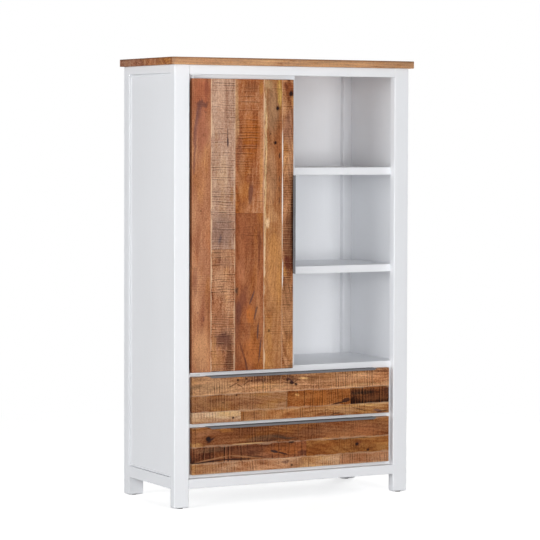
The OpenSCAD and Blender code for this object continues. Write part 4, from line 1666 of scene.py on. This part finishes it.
@dataclass
class Studio:
    """Plain floor, soft lamps, white surroundings and the camera.

    Args:
        camera_at: Place of the camera.
        turn: How far the camera turns to the right of straight ahead, in degrees.
        tilt: How far it looks down, in degrees.
        roll: How far it turns about its own line of sight, in degrees.
        lens: Focal length on a 36 mm wide sensor, in millimetres.
        shift: How far the picture is moved to the side and up, as a share of its width.
        sight: How far the camera sees.
        aim: Height that the lamps face.
        sky: Strength of the surroundings.
        floor_size: Length of the floor's sides.
        floor_tone: How pale the floor is.
        floor_glow: What the camera sees added to the floor, so that it turns white beside the shadow.
        white_from: How far from the cabinet's middle the floor begins to turn plain white.
        white_over: How far it takes to do so.
    """

    camera_at: Triple = (-3.8184, -7.1413, 1.2048)
    turn: float = 28.908
    tilt: float = 2.500
    roll: float = 0.199
    lens: float = 161.45
    shift: tuple[float, float] = (-0.0556, -0.0556)
    sight: float = 60.0
    aim: float = 0.75
    sky: float = 0.10
    floor_size: float = 30.0
    floor_tone: float = 0.80
    floor_glow: float = 0.67
    white_from: float = 1.3
    white_over: float = 1.2

    def build(self) -> None:
        """Builds the studio."""
        self._camera()
        self._world()
        self._floor()
        for lamp in LAMPS:
            lamp.build(Vector((0.0, 0.0, self.aim)))

    def _camera(self) -> None:
        """Adds the camera."""
        data = bpy.data.cameras.new("photo_camera")
        data.sensor_width = 36.0
        data.lens = self.lens
        data.shift_x, data.shift_y = self.shift
        data.clip_end = self.sight
        camera = bpy.data.objects.new("photo_camera", data)
        camera.location = self.camera_at
        view = (Matrix.Rotation(math.radians(-self.turn), 3, "Z")
                @ Matrix.Rotation(math.radians(90.0 - self.tilt), 3, "X")
                @ Matrix.Rotation(math.radians(self.roll), 3, "Z"))
        camera.rotation_euler = view.to_euler()
        bpy.context.scene.collection.objects.link(camera)
        bpy.context.scene.camera = camera

    def _world(self) -> None:
        """Sets the surroundings: soft light on the cabinet, and white where the camera sees them."""
        world = bpy.data.worlds.new("studio")
        world.use_nodes = True
        bpy.context.scene.world = world
        layout = Layout(world.node_tree)
        output = layout.tree.nodes.new("ShaderNodeOutputWorld")
        light = layout.node("Background", {"Color": WHITE, "Strength": self.sky})
        seen = layout.node("Background", {"Color": WHITE, "Strength": 1.0})
        rays = layout.node("LightPath", {}).node.outputs
        direct = layout.math("MAXIMUM", rays["Is Camera Ray"], rays["Is Transmission Ray"])
        layout.feed(output.inputs[0], layout.node("MixShader", {0: direct, 1: light, 2: seen}))

    def _floor(self) -> None:
        """Adds the pale floor, which shows white to the camera and keeps the cabinet's shadow."""
        Bench.clear()
        bpy.ops.mesh.primitive_plane_add(size=self.floor_size, location=NOWHERE)
        floor = bpy.context.active_object
        floor.name = "studio_floor"
        sheet = Sheet("studio_floor", 0.1)
        sheet.feed(sheet.shader.inputs["Base Color"], (self.floor_tone,) * 3)
        sheet.feed(sheet.shader.inputs["Roughness"], 0.9)
        away = sheet.length(sheet.object_place())
        far = sheet.remap(away, self.white_from, self.white_from + self.white_over)
        seen = sheet.node("LightPath", {}, "Is Camera Ray")
        glow = sheet.node("Emission", {"Color": WHITE, "Strength": sheet.times(seen, self.floor_glow)})
        pale = sheet.node("AddShader", {0: sheet.shader.outputs[0], 1: glow})
        white = sheet.node("Emission", {"Color": WHITE, "Strength": 1.0})
        mixed = sheet.node("MixShader", {0: sheet.times(far, seen), 1: pale, 2: white})
        sheet.feed(sheet.output.inputs[0], mixed)
        dress(floor, sheet.material)


TOP_FRONT = BoardFinish(
    Tones.around((0.446, 0.196, 0.077), 0.8), 1.3, rings=0.25, saw=0.2, saw_cover=0.3, lean=(0.01, 0.02),
    pith=(0.02, -0.06), pitch=0.009, dark_rim=0.024, front_rim=True,
    marks=(
        stain(735, 2, 9, 5, (0.36, 0.16, 0.07), 0.4), stain(318, 2, 8, 5, (0.36, 0.16, 0.07), 0.3),
        stain(250, 2, 60, 14, (0.36, 0.16, 0.07), 0.45), stain(840, 0, 150, 16, (0.37, 0.165, 0.063), 0.65),
        stain(580, 0, 150, 20, (0.55, 0.250, 0.092), 0.7), stain(0, 108, 9, 34, (0.26, 0.095, 0.048), 0.75),
        stain(0, 6, 9, 15, (0.22, 0.080, 0.036), 0.6)))
TOP_SECOND = BoardFinish(
    Tones.around((0.40, 0.165, 0.072), 0.9), 2.9, saw=0.2, dark_rim=0.024,
    marks=(
        stain(0, 70, 6, 26, (0.24, 0.085, 0.038), 0.7), stain(0, 14, 8, 26, (0.28, 0.105, 0.052), 0.7)))
TOP_THIRD = BoardFinish(
    Tones.around((0.375, 0.170, 0.098), 0.9), 4.1, saw=0.2, dark_rim=0.024,
    marks=(
        stain(0, 20, 6, 22, (0.20, 0.065, 0.030), 0.6),))
TOP_REAR = BoardFinish(
    Tones.around((0.33, 0.156, 0.092), 0.9), 5.7, saw=0.2, dark_rim=0.024)
TOP_BOARDS = {
    "top_board_front": TOP_FRONT,
    "top_board_second": TOP_SECOND,
    "top_board_third": TOP_THIRD,
    "top_board_rear": TOP_REAR,
}

PLANK_1 = BoardFinish(
    Tones((0.259, 0.084, 0.044), (0.418, 0.173, 0.085), (0.571, 0.284, 0.149)), 11.0, rings=0.06, saw=0.30,
    saw_cover=0.35, saw_pitch=0.0065, drift=0.65, streak=0.5, grit=0.8, lean=(0.03, 0.05), warmth=0.7,
    pale_start=0.0, pale_end=0.1,
    marks=(
        stain(896, 33, 75, 44, (0.335, 0.098, 0.046), 0.85),
        stain(916, 52, 34, 9, (0.22, 0.062, 0.036), 0.6), stain(864, 34, 15, 27, (0.12, 0.048, 0.038), 0.8),
        stain(836, 24, 30, 13, (0.13, 0.056, 0.052), 0.75), stain(838, 46, 5, 9, (0.16, 0.064, 0.046), 0.7),
        stain(796, 15, 52, 9, (0.145, 0.062, 0.060), 0.8), stain(721, 10, 60, 5, (0.16, 0.062, 0.056), 0.6),
        stain(664, 7, 26, 4, (0.17, 0.06, 0.05), 0.6), stain(772, 38, 74, 26, (0.31, 0.108, 0.060), 0.85),
        stain(606, 40, 70, 18, (0.45, 0.19, 0.092), 0.4), stain(296, 12, 45, 9, (0.24, 0.088, 0.055), 0.5),
        sawn(281, 26, 34, 26, 0.75), stain(381, 42, 60, 16, (0.30, 0.105, 0.055), 0.4),
        stain(62, 32, 88, 32, (0.66, 0.335, 0.160), 0.7), stain(116, 54, 120, 10, (0.44, 0.18, 0.075), 0.4),
        crack(193, 20, 3, 3.0, tone=(0.14, 0.05, 0.04), strength=0.6),
        crack(173, 41, 9, 2.0, tone=(0.14, 0.05, 0.04), strength=0.7), knot(521, 31, 1.8, 0.6)))
PLANK_2_LOWER = BoardFinish(
    Tones((0.189, 0.056, 0.026), (0.414, 0.181, 0.088), (0.572, 0.307, 0.172)), 12.3, rings=0.10, saw=0.95,
    saw_cover=0.95, saw_pitch=0.0080, drift=0.9, streak=0.7, warmth=0.6, pale_start=0.75, pale_end=0.5,
    marks=(
        stain(385, 32, 26, 36, (0.50, 0.270, 0.155), 0.6),
        stain(290, 30, 50, 26, (0.52, 0.290, 0.165), 0.4),
        stain(102, 48, 36, 40, (0.135, 0.050, 0.033), 0.88),
        stain(112, 56, 16, 22, (0.090, 0.034, 0.024), 0.5),
        stain(163, 76, 34, 11, (0.26, 0.095, 0.038), 0.75),
        stain(41, 70, 55, 15, (0.14, 0.055, 0.028), 0.75), stain(38, 30, 34, 22, (0.44, 0.190, 0.075), 0.6),
        stain(56, 12, 75, 10, (0.48, 0.23, 0.090), 0.6), stain(161, 44, 30, 40, (0.26, 0.10, 0.048), 0.6),
        stain(351, 52, 22, 26, (0.27, 0.135, 0.095), 0.5)))
PLANK_2_UPPER = BoardFinish(
    Tones((0.325, 0.160, 0.096), (0.457, 0.267, 0.180), (0.589, 0.394, 0.285)), 13.7, rings=0.08, saw=0.80,
    saw_cover=0.75, saw_pitch=0.0080, drift=0.7, streak=0.65, warmth=0.45, pale_start=0.8, pale_end=0.5,
    marks=(
        stain(480, 58, 80, 7, (0.27, 0.125, 0.075), 0.6), sawn(480, 30, 55, 34, 0.7),
        crack(366, 60, 32, 1.7, 1.5, (0.10, 0.05, 0.04), 0.8),
        crack(345, 61, 17, 3.0, 0.0, (0.05, 0.022, 0.026), 0.9),
        stain(352, 22, 6, 24, (0.36, 0.17, 0.115), 0.6), stain(170, 78, 26, 8, (0.40, 0.18, 0.07), 0.8),
        stain(178, 22, 30, 14, (0.38, 0.22, 0.15), 0.6), sawn(175, 34, 40, 34, 0.9),
        sawn(95, 44, 34, 42, 1.0), stain(60, 40, 60, 44, (0.20, 0.11, 0.088), 0.6),
        stain(36, 34, 12, 8, (0.10, 0.075, 0.085), 0.7)))
PLANK_3_LOWER = BoardFinish(
    Tones((0.196, 0.053, 0.019), (0.276, 0.086, 0.032), (0.371, 0.139, 0.058)), 14.9, rings=0.12, saw=0.35,
    saw_cover=0.4, pitch=0.012, lean=(0.06, 0.16), pith=(0.05, 0.09), waver=0.9, streak=0.6, drift=0.75,
    pale_start=0.1, pale_end=0.1,
    marks=(
        stain(406, 88, 80, 8, (0.15, 0.042, 0.018), 0.75),
        stain(436, 30, 60, 26, (0.34, 0.115, 0.050), 0.5),
        stain(326, 22, 50, 18, (0.40, 0.155, 0.075), 0.5), stain(258, 5, 12, 5, (0.05, 0.022, 0.014), 0.85),
        stain(228, 26, 50, 20, (0.165, 0.050, 0.028), 0.75, 14.0),
        stain(186, 12, 46, 13, (0.14, 0.048, 0.033), 0.75),
        stain(136, 9, 50, 11, (0.19, 0.066, 0.034), 0.7), stain(56, 8, 60, 11, (0.24, 0.085, 0.036), 0.6),
        stain(184, 58, 34, 16, (0.38, 0.115, 0.024), 0.7),
        stain(56, 58, 45, 34, (0.40, 0.130, 0.038), 0.75), stain(201, 86, 60, 9, (0.43, 0.19, 0.080), 0.5),
        crack(236, 62, 26, 3.2, 22.0, (0.10, 0.055, 0.05), 0.75),
        crack(186, 76, 26, 3.0, 14.0, (0.10, 0.055, 0.05), 0.7),
        crack(126, 84, 30, 3.0, 4.0, (0.08, 0.048, 0.045), 0.75),
        crack(66, 92, 42, 2.6, 6.0, (0.08, 0.048, 0.045), 0.75),
        crack(56, 30, 40, 3.0, -18.0, (0.11, 0.034, 0.022), 0.6),
        crack(16, 42, 30, 4.0, -12.0, (0.10, 0.030, 0.020), 0.7)))
PLANK_3_UPPER = BoardFinish(
    Tones((0.300, 0.087, 0.029), (0.424, 0.169, 0.071), (0.536, 0.272, 0.142)), 16.1, rings=0.14, saw=0.55,
    saw_cover=0.6, saw_pitch=0.0085, pitch=0.010, streak=0.6, saw_breaks=14.0, pale_start=0.15,
    pale_end=0.2,
    marks=(
        stain(405, 60, 26, 26, (0.24, 0.080, 0.030), 0.6), stain(408, 92, 24, 10, (0.52, 0.23, 0.055), 0.6),
        stain(245, 58, 75, 38, (0.42, 0.115, 0.016), 0.75), sawn(300, 50, 120, 46, 0.8),
        stain(335, 62, 14, 40, (0.30, 0.088, 0.026), 0.5), stain(215, 60, 10, 40, (0.27, 0.07, 0.024), 0.5),
        stain(200, 14, 60, 11, (0.33, 0.125, 0.068), 0.55), stain(330, 5, 110, 8, (0.58, 0.34, 0.17), 0.65),
        stain(120, 20, 70, 12, (0.45, 0.19, 0.075), 0.4),
        stain(108, 46, 20, 17, (0.25, 0.068, 0.026), 0.75), stain(112, 44, 7, 6, (0.40, 0.15, 0.06), 0.6),
        stain(104, 78, 24, 16, (0.26, 0.075, 0.022), 0.65), stain(84, 60, 9, 24, (0.24, 0.064, 0.022), 0.6),
        stain(60, 62, 24, 20, (0.26, 0.072, 0.026), 0.6), stain(62, 54, 34, 9, (0.13, 0.046, 0.034), 0.75),
        stain(128, 96, 100, 6, (0.55, 0.26, 0.080), 0.5), stain(20, 30, 30, 24, (0.46, 0.18, 0.072), 0.5)))
PLANK_4 = BoardFinish(
    Tones((0.253, 0.083, 0.027), (0.342, 0.129, 0.049), (0.444, 0.205, 0.082)), 17.3, rings=0.18, saw=0.45,
    saw_cover=0.45, saw_pitch=0.0080, lean=(0.02, 0.08), pith=(0.03, 0.04), drift=0.8, streak=0.5,
    warmth=0.6, pale_start=0.75, pale_end=0.1,
    marks=(
        stain(856, 30, 100, 24, (0.36, 0.20, 0.105), 0.75), stain(901, 58, 60, 7, (0.62, 0.37, 0.10), 0.85),
        stain(931, 14, 22, 16, (0.58, 0.36, 0.17), 0.6), stain(686, 5, 270, 4.5, (0.68, 0.46, 0.24), 0.85),
        stain(396, 4, 120, 4, (0.66, 0.42, 0.22), 0.7), stain(636, 26, 110, 20, (0.46, 0.245, 0.125), 0.55),
        knot(852, 50, 4.4, 1.0), knot(740, 42, 3.8, 1.0), knot(769, 24, 2.0, 0.5),
        crack(698, 58, 10, 3, 0.0, (0.06, 0.024, 0.014), 0.9),
        crack(621, 57, 12, 1.6, 4.0, (0.10, 0.04, 0.02)), crack(588, 56, 10, 1.4, -5.0, (0.10, 0.04, 0.02)),
        crack(551, 57, 12, 1.6, 3.0, (0.10, 0.04, 0.02)), stain(556, 58, 90, 6, (0.26, 0.095, 0.035), 0.55),
        stain(500, 30, 24, 20, (0.54, 0.30, 0.140), 0.35), stain(474, 14, 16, 8, (0.78, 0.56, 0.34), 0.7),
        stain(448, 32, 10, 30, (0.30, 0.13, 0.052), 0.4),
        crack(428, 13, 8, 1.8, 0.0, (0.20, 0.08, 0.03), 0.6),
        stain(188, 35, 8, 28, (0.25, 0.105, 0.040), 0.6), knot(126, 20, 3.6, 0.5),
        stain(326, 40, 110, 22, (0.41, 0.185, 0.062), 0.5)))
PLANK_5 = BoardFinish(
    Tones((0.198, 0.058, 0.020), (0.370, 0.151, 0.060), (0.567, 0.287, 0.140)), 18.9, rings=0.22, saw=0.75,
    saw_cover=0.8, saw_pitch=0.0080, pitch=0.006, waver=1.6, streak=0.7, warmth=0.7, pale_start=0.3,
    pale_end=0.1,
    marks=(
        stain(918, 20, 28, 22, (0.25, 0.060, 0.018), 0.8), stain(921, 10, 14, 5, (0.10, 0.026, 0.012), 0.7),
        knot(900, 33, 6.0, 0.95), stain(876, 38, 20, 7, (0.46, 0.22, 0.07), 0.65),
        stain(838, 36, 16, 6, (0.16, 0.055, 0.030), 0.6),
        stain(786, 24, 60, 20, (0.34, 0.165, 0.110), 0.55),
        stain(656, 30, 50, 12, (0.46, 0.24, 0.13), 0.45),
        stain(426, 24, 95, 24, (0.135, 0.048, 0.024), 0.75), sawn(436, 22, 90, 24, 0.5),
        # Painted shade: a dark band along the plank's right edge, beside and under the door handle.
        stain(496, 37, 150, 7, (0.085, 0.032, 0.018), 0.75),
        stain(348, 25, 26, 16, (0.11, 0.022, 0.012), 0.88), stain(314, 14, 12, 8, (0.50, 0.22, 0.06), 0.7),
        stain(190, 22, 110, 24, (0.45, 0.220, 0.102), 0.6),
        stain(580, 22, 34, 22, (0.21, 0.082, 0.038), 0.5),
        crack(258, 30, 26, 1.5, -16.0, (0.12, 0.045, 0.022), 0.75),
        crack(232, 34, 20, 1.3, -16.0, (0.14, 0.05, 0.025), 0.6),
        stain(56, 34, 50, 10, (0.44, 0.18, 0.06), 0.5), stain(4, 34, 14, 12, (0.10, 0.045, 0.02), 0.7),
        # Painted shadow: a narrow dark strip on the plank's right edge, where the handle's lip shades the
        # wood.
        crack(471, 41.5, 160, 2.3, 0.0, (0.020, 0.009, 0.006), 0.85),
        crack(716, 1.8, 66, 1.9, 0.0, (0.84, 0.80, 0.76), 0.95),
        crack(556, 1.8, 95, 2.1, 0.0, (0.84, 0.80, 0.76), 0.95),
        crack(426, 1.6, 40, 1.2, 0.0, (0.80, 0.72, 0.62), 0.7),
        crack(311, 3, 48, 1.8, 0.8, (0.84, 0.80, 0.76), 0.95)))
DOOR_PLANKS = {
    "door_plank_1": (PLANK_1,),
    "door_plank_2": (PLANK_2_LOWER, PLANK_2_UPPER),
    "door_plank_3": (PLANK_3_LOWER, PLANK_3_UPPER),
    "door_plank_4": (PLANK_4,),
    "door_plank_5": (PLANK_5,),
}

UPPER_BOTTOM_LEFT = BoardFinish(
    Tones.around((0.532, 0.316, 0.180), 0.75), 21.0, rings=0.07, saw=0.60, saw_cover=0.80, saw_pitch=0.0105,
    saw_breaks=11.0, streak=0.8, warmth=0.7,
    marks=(
        knot(148, 14, 2.6, 1.0), stain(148, 14, 14, 4, (0.25, 0.12, 0.06), 0.6),
        stain(150, 26, 40, 8, (0.62, 0.38, 0.17), 0.5)))
UPPER_BOTTOM_RIGHT = BoardFinish(
    Tones.around((0.344, 0.141, 0.049), 1.15), 22.1, rings=0.22, saw=0.80, saw_cover=0.60,
    lean=(0.05, 0.14), pith=(0.02, 0.05), pitch=0.009, waver=1.4, saw_breaks=11.0, streak=0.8,
    marks=(
        stain(40, 18, 44, 14, (0.32, 0.135, 0.062), 0.5), stain(100, 10, 30, 8, (0.40, 0.15, 0.045), 0.6),
        stain(395, 18, 44, 13, (0.36, 0.185, 0.085), 0.7), sawn(300, 16, 70, 18, 0.7),
        crack(352, 7, 22, 1.6, 12.0, (0.06, 0.028, 0.016), 0.85),
        crack(446, 18, 34, 1.4, -16.0, (0.10, 0.045, 0.02), 0.8),
        stain(520, 13, 26, 6, (0.12, 0.055, 0.050), 0.85, -6.0),
        crack(536, 7, 24, 2.0, 3.0, (0.03, 0.014, 0.012), 0.9),
        stain(465, 31, 80, 4, (0.58, 0.33, 0.12), 0.7)))
UPPER_MIDDLE_LEFT = BoardFinish(
    Tones.around((0.310, 0.132, 0.056), 1.0), 23.3, rings=0.16, saw=0.75, saw_cover=0.60, lean=(0.22, 0.12),
    pith=(0.05, 0.06), pitch=0.0085, waver=1.2, saw_breaks=9.0, streak=0.8,
    marks=(
        knot(160, 51, 2.4, 0.7), knot(111, 29, 1.8, 0.6), sawn(70, 28, 70, 28, 0.6),
        stain(60, 26, 70, 20, (0.21, 0.092, 0.045), 0.45)))
UPPER_MIDDLE_CENTRE = BoardFinish(
    Tones((0.127, 0.028, 0.005), (0.273, 0.080, 0.018), (0.393, 0.147, 0.042)), 24.7, rings=0.07, saw=1.00,
    saw_cover=1.00, saw_pitch=0.0085, saw_breaks=7.0, saw_shade=0.25, streak=0.5, warmth=0.6,
    marks=(
        stain(41, 45, 7, 5, (0.66, 0.34, 0.11), 0.85), sawn(120, 27, 200, 60, 1.0),
        stain(120, 30, 40, 30, (0.34, 0.10, 0.018), 0.5),
        crack(196, 7, 30, 2.6, 9.0, (0.030, 0.014, 0.010), 0.9),
        crack(223, 15, 16, 7.5, 10.0, (0.035, 0.015, 0.012), 0.85)))
UPPER_MIDDLE_RIGHT = BoardFinish(
    Tones((0.036, 0.011, 0.005), (0.112, 0.034, 0.012), (0.233, 0.080, 0.026)), 25.9, rings=0.07, saw=1.00,
    saw_cover=1.00, saw_pitch=0.0112, saw_breaks=6.0, saw_shade=0.14, streak=0.5,
    marks=(
        stain(40, 36, 46, 9, (0.030, 0.020, 0.012), 0.7), sawn(75, 27, 140, 60, 1.0),
        stain(100, 14, 62, 9, (0.20, 0.068, 0.026), 0.7), stain(140, 40, 12, 16, (0.06, 0.020, 0.012), 0.6)))
UPPER_TOP = BoardFinish(
    Tones((0.205, 0.078, 0.036), (0.429, 0.197, 0.089), (0.633, 0.333, 0.168)), 27.1, rings=0.15, saw=1.00,
    saw_cover=0.60, lean=(0.05, 0.12), pith=(-0.02, 0.06), pitch=0.010, waver=1.7, saw_breaks=9.0,
    saw_pitch=0.0092,
    marks=(
        stain(90, 20, 100, 22, (0.58, 0.325, 0.158), 0.6), stain(48, 30, 66, 32, (0.60, 0.325, 0.165), 0.7),
        stain(178, 40, 44, 14, (0.27, 0.110, 0.046), 0.55), stain(178, 53, 12, 4, (0.56, 0.22, 0.05), 0.8),
        crack(150, 30, 20, 1.8, 24.0, (0.12, 0.05, 0.025), 0.8),
        crack(172, 26, 16, 1.6, -28.0, (0.12, 0.05, 0.025), 0.8),
        crack(196, 34, 16, 1.8, 32.0, (0.10, 0.042, 0.022), 0.8), knot(165, 44, 3.0, 0.8),
        knot(196, 47, 2.8, 0.7), knot(215, 40, 2.2, 0.6), sawn(40, 26, 46, 26, 0.3),
        sawn(255, 28, 44, 30, 0.9), sawn(620, 30, 120, 34, 0.85),
        stain(480, 44, 70, 13, (0.24, 0.090, 0.031), 0.7), stain(300, 16, 60, 10, (0.60, 0.34, 0.16), 0.5),
        knot(364, 28, 5.2, 0.9), knot(380, 21, 3.6, 0.8), knot(349, 37, 3.0, 0.8),
        crack(360, 35, 17, 2.0, -38.0, (0.05, 0.022, 0.025), 0.8),
        crack(374, 28, 15, 1.6, 34.0, (0.06, 0.026, 0.022), 0.8),
        crack(345, 28, 14, 1.4, -16.0, (0.08, 0.032, 0.022), 0.7),
        stain(366, 40, 26, 8, (0.16, 0.062, 0.030), 0.7), stain(411, 42, 18, 5, (0.70, 0.42, 0.17), 0.95),
        stain(440, 36, 24, 14, (0.24, 0.10, 0.040), 0.7),
        stain(560, 22, 110, 22, (0.33, 0.145, 0.062), 0.5), stain(620, 8, 110, 5, (0.60, 0.34, 0.15), 0.55)))
UPPER_ROWS = {
    "bottom": (UPPER_BOTTOM_LEFT, UPPER_BOTTOM_RIGHT),
    "middle": (UPPER_MIDDLE_LEFT, UPPER_MIDDLE_CENTRE, UPPER_MIDDLE_RIGHT),
    "top": (UPPER_TOP,),
}

LOWER_BOTTOM_LEFT = BoardFinish(
    Tones.around((0.396, 0.188, 0.092), 1.1), 31.0, rings=0.14, saw=0.80, saw_cover=0.60, saw_breaks=11.0,
    streak=0.8,
    marks=(
        stain(340, 27, 14, 6, (0.13, 0.055, 0.040), 0.75), knot(365, 11, 3.0, 0.7),
        stain(60, 18, 60, 16, (0.34, 0.150, 0.070), 0.5), sawn(230, 18, 60, 18, 0.8),
        stain(374, 16, 22, 18, (0.24, 0.100, 0.045), 0.7)))
LOWER_BOTTOM_CENTRE = BoardFinish(
    Tones.around((0.498, 0.263, 0.137), 0.8), 32.3, rings=0.07, saw=0.95, saw_cover=0.75, saw_pitch=0.0085,
    saw_breaks=11.0, streak=0.8,
    marks=(
        stain(8, 16, 14, 18, (0.34, 0.155, 0.072), 0.6),))
LOWER_BOTTOM_RIGHT = BoardFinish(
    Tones.around((0.349, 0.151, 0.070), 0.8), 33.7, rings=0.11, saw=0.80, saw_cover=0.55, saw_breaks=11.0,
    streak=0.7)
LOWER_MIDDLE_LEFT = BoardFinish(
    Tones((0.082, 0.022, 0.009), (0.188, 0.061, 0.025), (0.304, 0.119, 0.056)), 34.9, rings=0.17, saw=0.80,
    saw_cover=1.00, saw_pitch=0.0125, lean=(0.10, 0.10), pitch=0.012, saw_breaks=6.0, saw_shade=0.10,
    streak=0.6,
    marks=(
        stain(160, 36, 110, 13, (0.15, 0.050, 0.024), 0.6), sawn(150, 27, 150, 40, 1.0),
        stain(60, 40, 60, 8, (0.34, 0.165, 0.080), 0.5),
        crack(70, 12, 62, 2.6, 7.0, (0.36, 0.17, 0.080), 0.8),
        crack(192, 14, 62, 2.6, -6.0, (0.38, 0.18, 0.085), 0.8),
        crack(60, 5, 60, 2.4, 3.0, (0.030, 0.013, 0.010), 0.95),
        crack(160, 7, 60, 2.8, -2.0, (0.028, 0.012, 0.010), 0.95),
        crack(236, 11, 40, 2.2, -7.0, (0.06, 0.022, 0.014), 0.8),
        stain(222, 24, 34, 8, (0.10, 0.034, 0.018), 0.6),
        stain(345, 30, 80, 26, (0.295, 0.088, 0.022), 0.75),
        crack(364, 51, 10, 4.0, 0.0, (0.02, 0.012, 0.010), 0.9),
        crack(300, 24, 16, 4.5, -14.0, (0.028, 0.020, 0.020), 0.92),
        crack(332, 16, 20, 3.0, -16.0, (0.030, 0.014, 0.012), 0.9),
        stain(402, 18, 16, 9, (0.09, 0.026, 0.014), 0.75)))
LOWER_MIDDLE_RIGHT = BoardFinish(
    Tones.around((0.305, 0.118, 0.032), 0.9), 36.1, rings=0.17, saw=0.60, saw_cover=0.45, lean=(0.18, 0.10),
    pith=(0.06, 0.05), pitch=0.009, saw_breaks=9.0, streak=0.7,
    marks=(
        knot(193, 30, 4.4, 0.95), stain(193, 30, 9, 8, (0.20, 0.050, 0.020), 0.6), knot(236, 9, 3.4, 0.8),
        stain(95, 49, 30, 3, (0.07, 0.036, 0.022), 0.8), stain(212, 50, 34, 3, (0.07, 0.036, 0.022), 0.8),
        stain(161, 51, 110, 2, (0.10, 0.045, 0.02), 0.5)))
LOWER_TOP = BoardFinish(
    Tones((0.115, 0.033, 0.009), (0.209, 0.067, 0.023), (0.303, 0.122, 0.049)), 37.3, rings=0.17, saw=0.70,
    saw_cover=0.50, lean=(0.10, 0.14), pith=(-0.01, 0.05), pitch=0.011, waver=1.5, saw_breaks=9.0,
    streak=0.9,
    marks=(
        knot(58, 25, 6.6, 1.0), crack(66, 20, 15, 4.2, 32.0, (0.030, 0.014, 0.012), 0.85),
        stain(50, 46, 40, 14, (0.30, 0.125, 0.058), 0.5),
        stain(115, 47, 34, 8, (0.46, 0.175, 0.044), 0.75, -8.0),
        stain(17, 8, 26, 7, (0.52, 0.27, 0.095), 0.75), stain(160, 14, 40, 8, (0.32, 0.13, 0.050), 0.5),
        stain(268, 15, 70, 9, (0.115, 0.058, 0.030), 0.75, 3.0),
        stain(340, 12, 50, 4, (0.050, 0.030, 0.020), 0.85, -4.0),
        crack(205, 2.5, 60, 1.6, 0.0, (0.70, 0.44, 0.20), 0.8),
        stain(265, 6, 70, 2.4, (0.045, 0.020, 0.012), 0.75), sawn(250, 38, 110, 22, 0.8),
        sawn(430, 34, 90, 26, 0.85), stain(430, 30, 60, 14, (0.17, 0.060, 0.026), 0.45),
        stain(530, 14, 60, 12, (0.36, 0.140, 0.052), 0.6),
        stain(640, 30, 60, 20, (0.28, 0.100, 0.040), 0.5), stain(491, 6, 30, 3, (0.54, 0.25, 0.080), 0.7)))
LOWER_ROWS = {
    "bottom": (LOWER_BOTTOM_LEFT, LOWER_BOTTOM_CENTRE, LOWER_BOTTOM_RIGHT),
    "middle": (LOWER_MIDDLE_LEFT, LOWER_MIDDLE_RIGHT),
    "top": (LOWER_TOP,),
}

BOX_WOOD = BoardFinish(Tones.around((0.60, 0.41, 0.24), 0.35), 41.0, rings=0.30, saw=0.0, saw_cover=0.1,
                       lean=(0.01, 0.05), pitch=0.009, grit=0.4, pale_start=0.0, pale_end=0.0)
# The frame's white made paler: painted light for the back panel inside the bays.
BRIGHTENED_INNER_PAINT = PaintFinish((0.895, 0.905, 0.93))
DOOR_JOINTS = {"door_plank_2": (0.3955,), "door_plank_3": (0.5115,)}
UPPER_JOINTS = {"bottom": (0.176,), "middle": (0.348, 0.588)}
LOWER_JOINTS = {"bottom": (0.391, 0.548), "middle": (0.420,)}


def main() -> None:
    """Builds the highboard piece by piece, then the studio."""
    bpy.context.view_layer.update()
    shop = Paintshop(PaintFinish(), BRIGHTENED_INNER_PAINT)
    Carcass(shop).build()
    TopSlab(TOP_BOARDS).build()
    PlankDoor(shop, DOOR_PLANKS, DOOR_JOINTS, BOX_WOOD).build()
    Drawer("upper", shop, UPPER_ROWS, UPPER_JOINTS, replace(BOX_WOOD, seed=43.0)).build()
    Drawer("lower", shop, LOWER_ROWS, LOWER_JOINTS, replace(BOX_WOOD, seed=47.0)).build()
    Ironwork(shop, replace(BOX_WOOD, seed=51.0)).build()
    Studio().build()
    bpy.context.scene.view_settings.view_transform = "Standard"


if __name__ == "__main__":
    logging.basicConfig(level=logging.INFO, format="%(name)s: %(message)s")
    main()
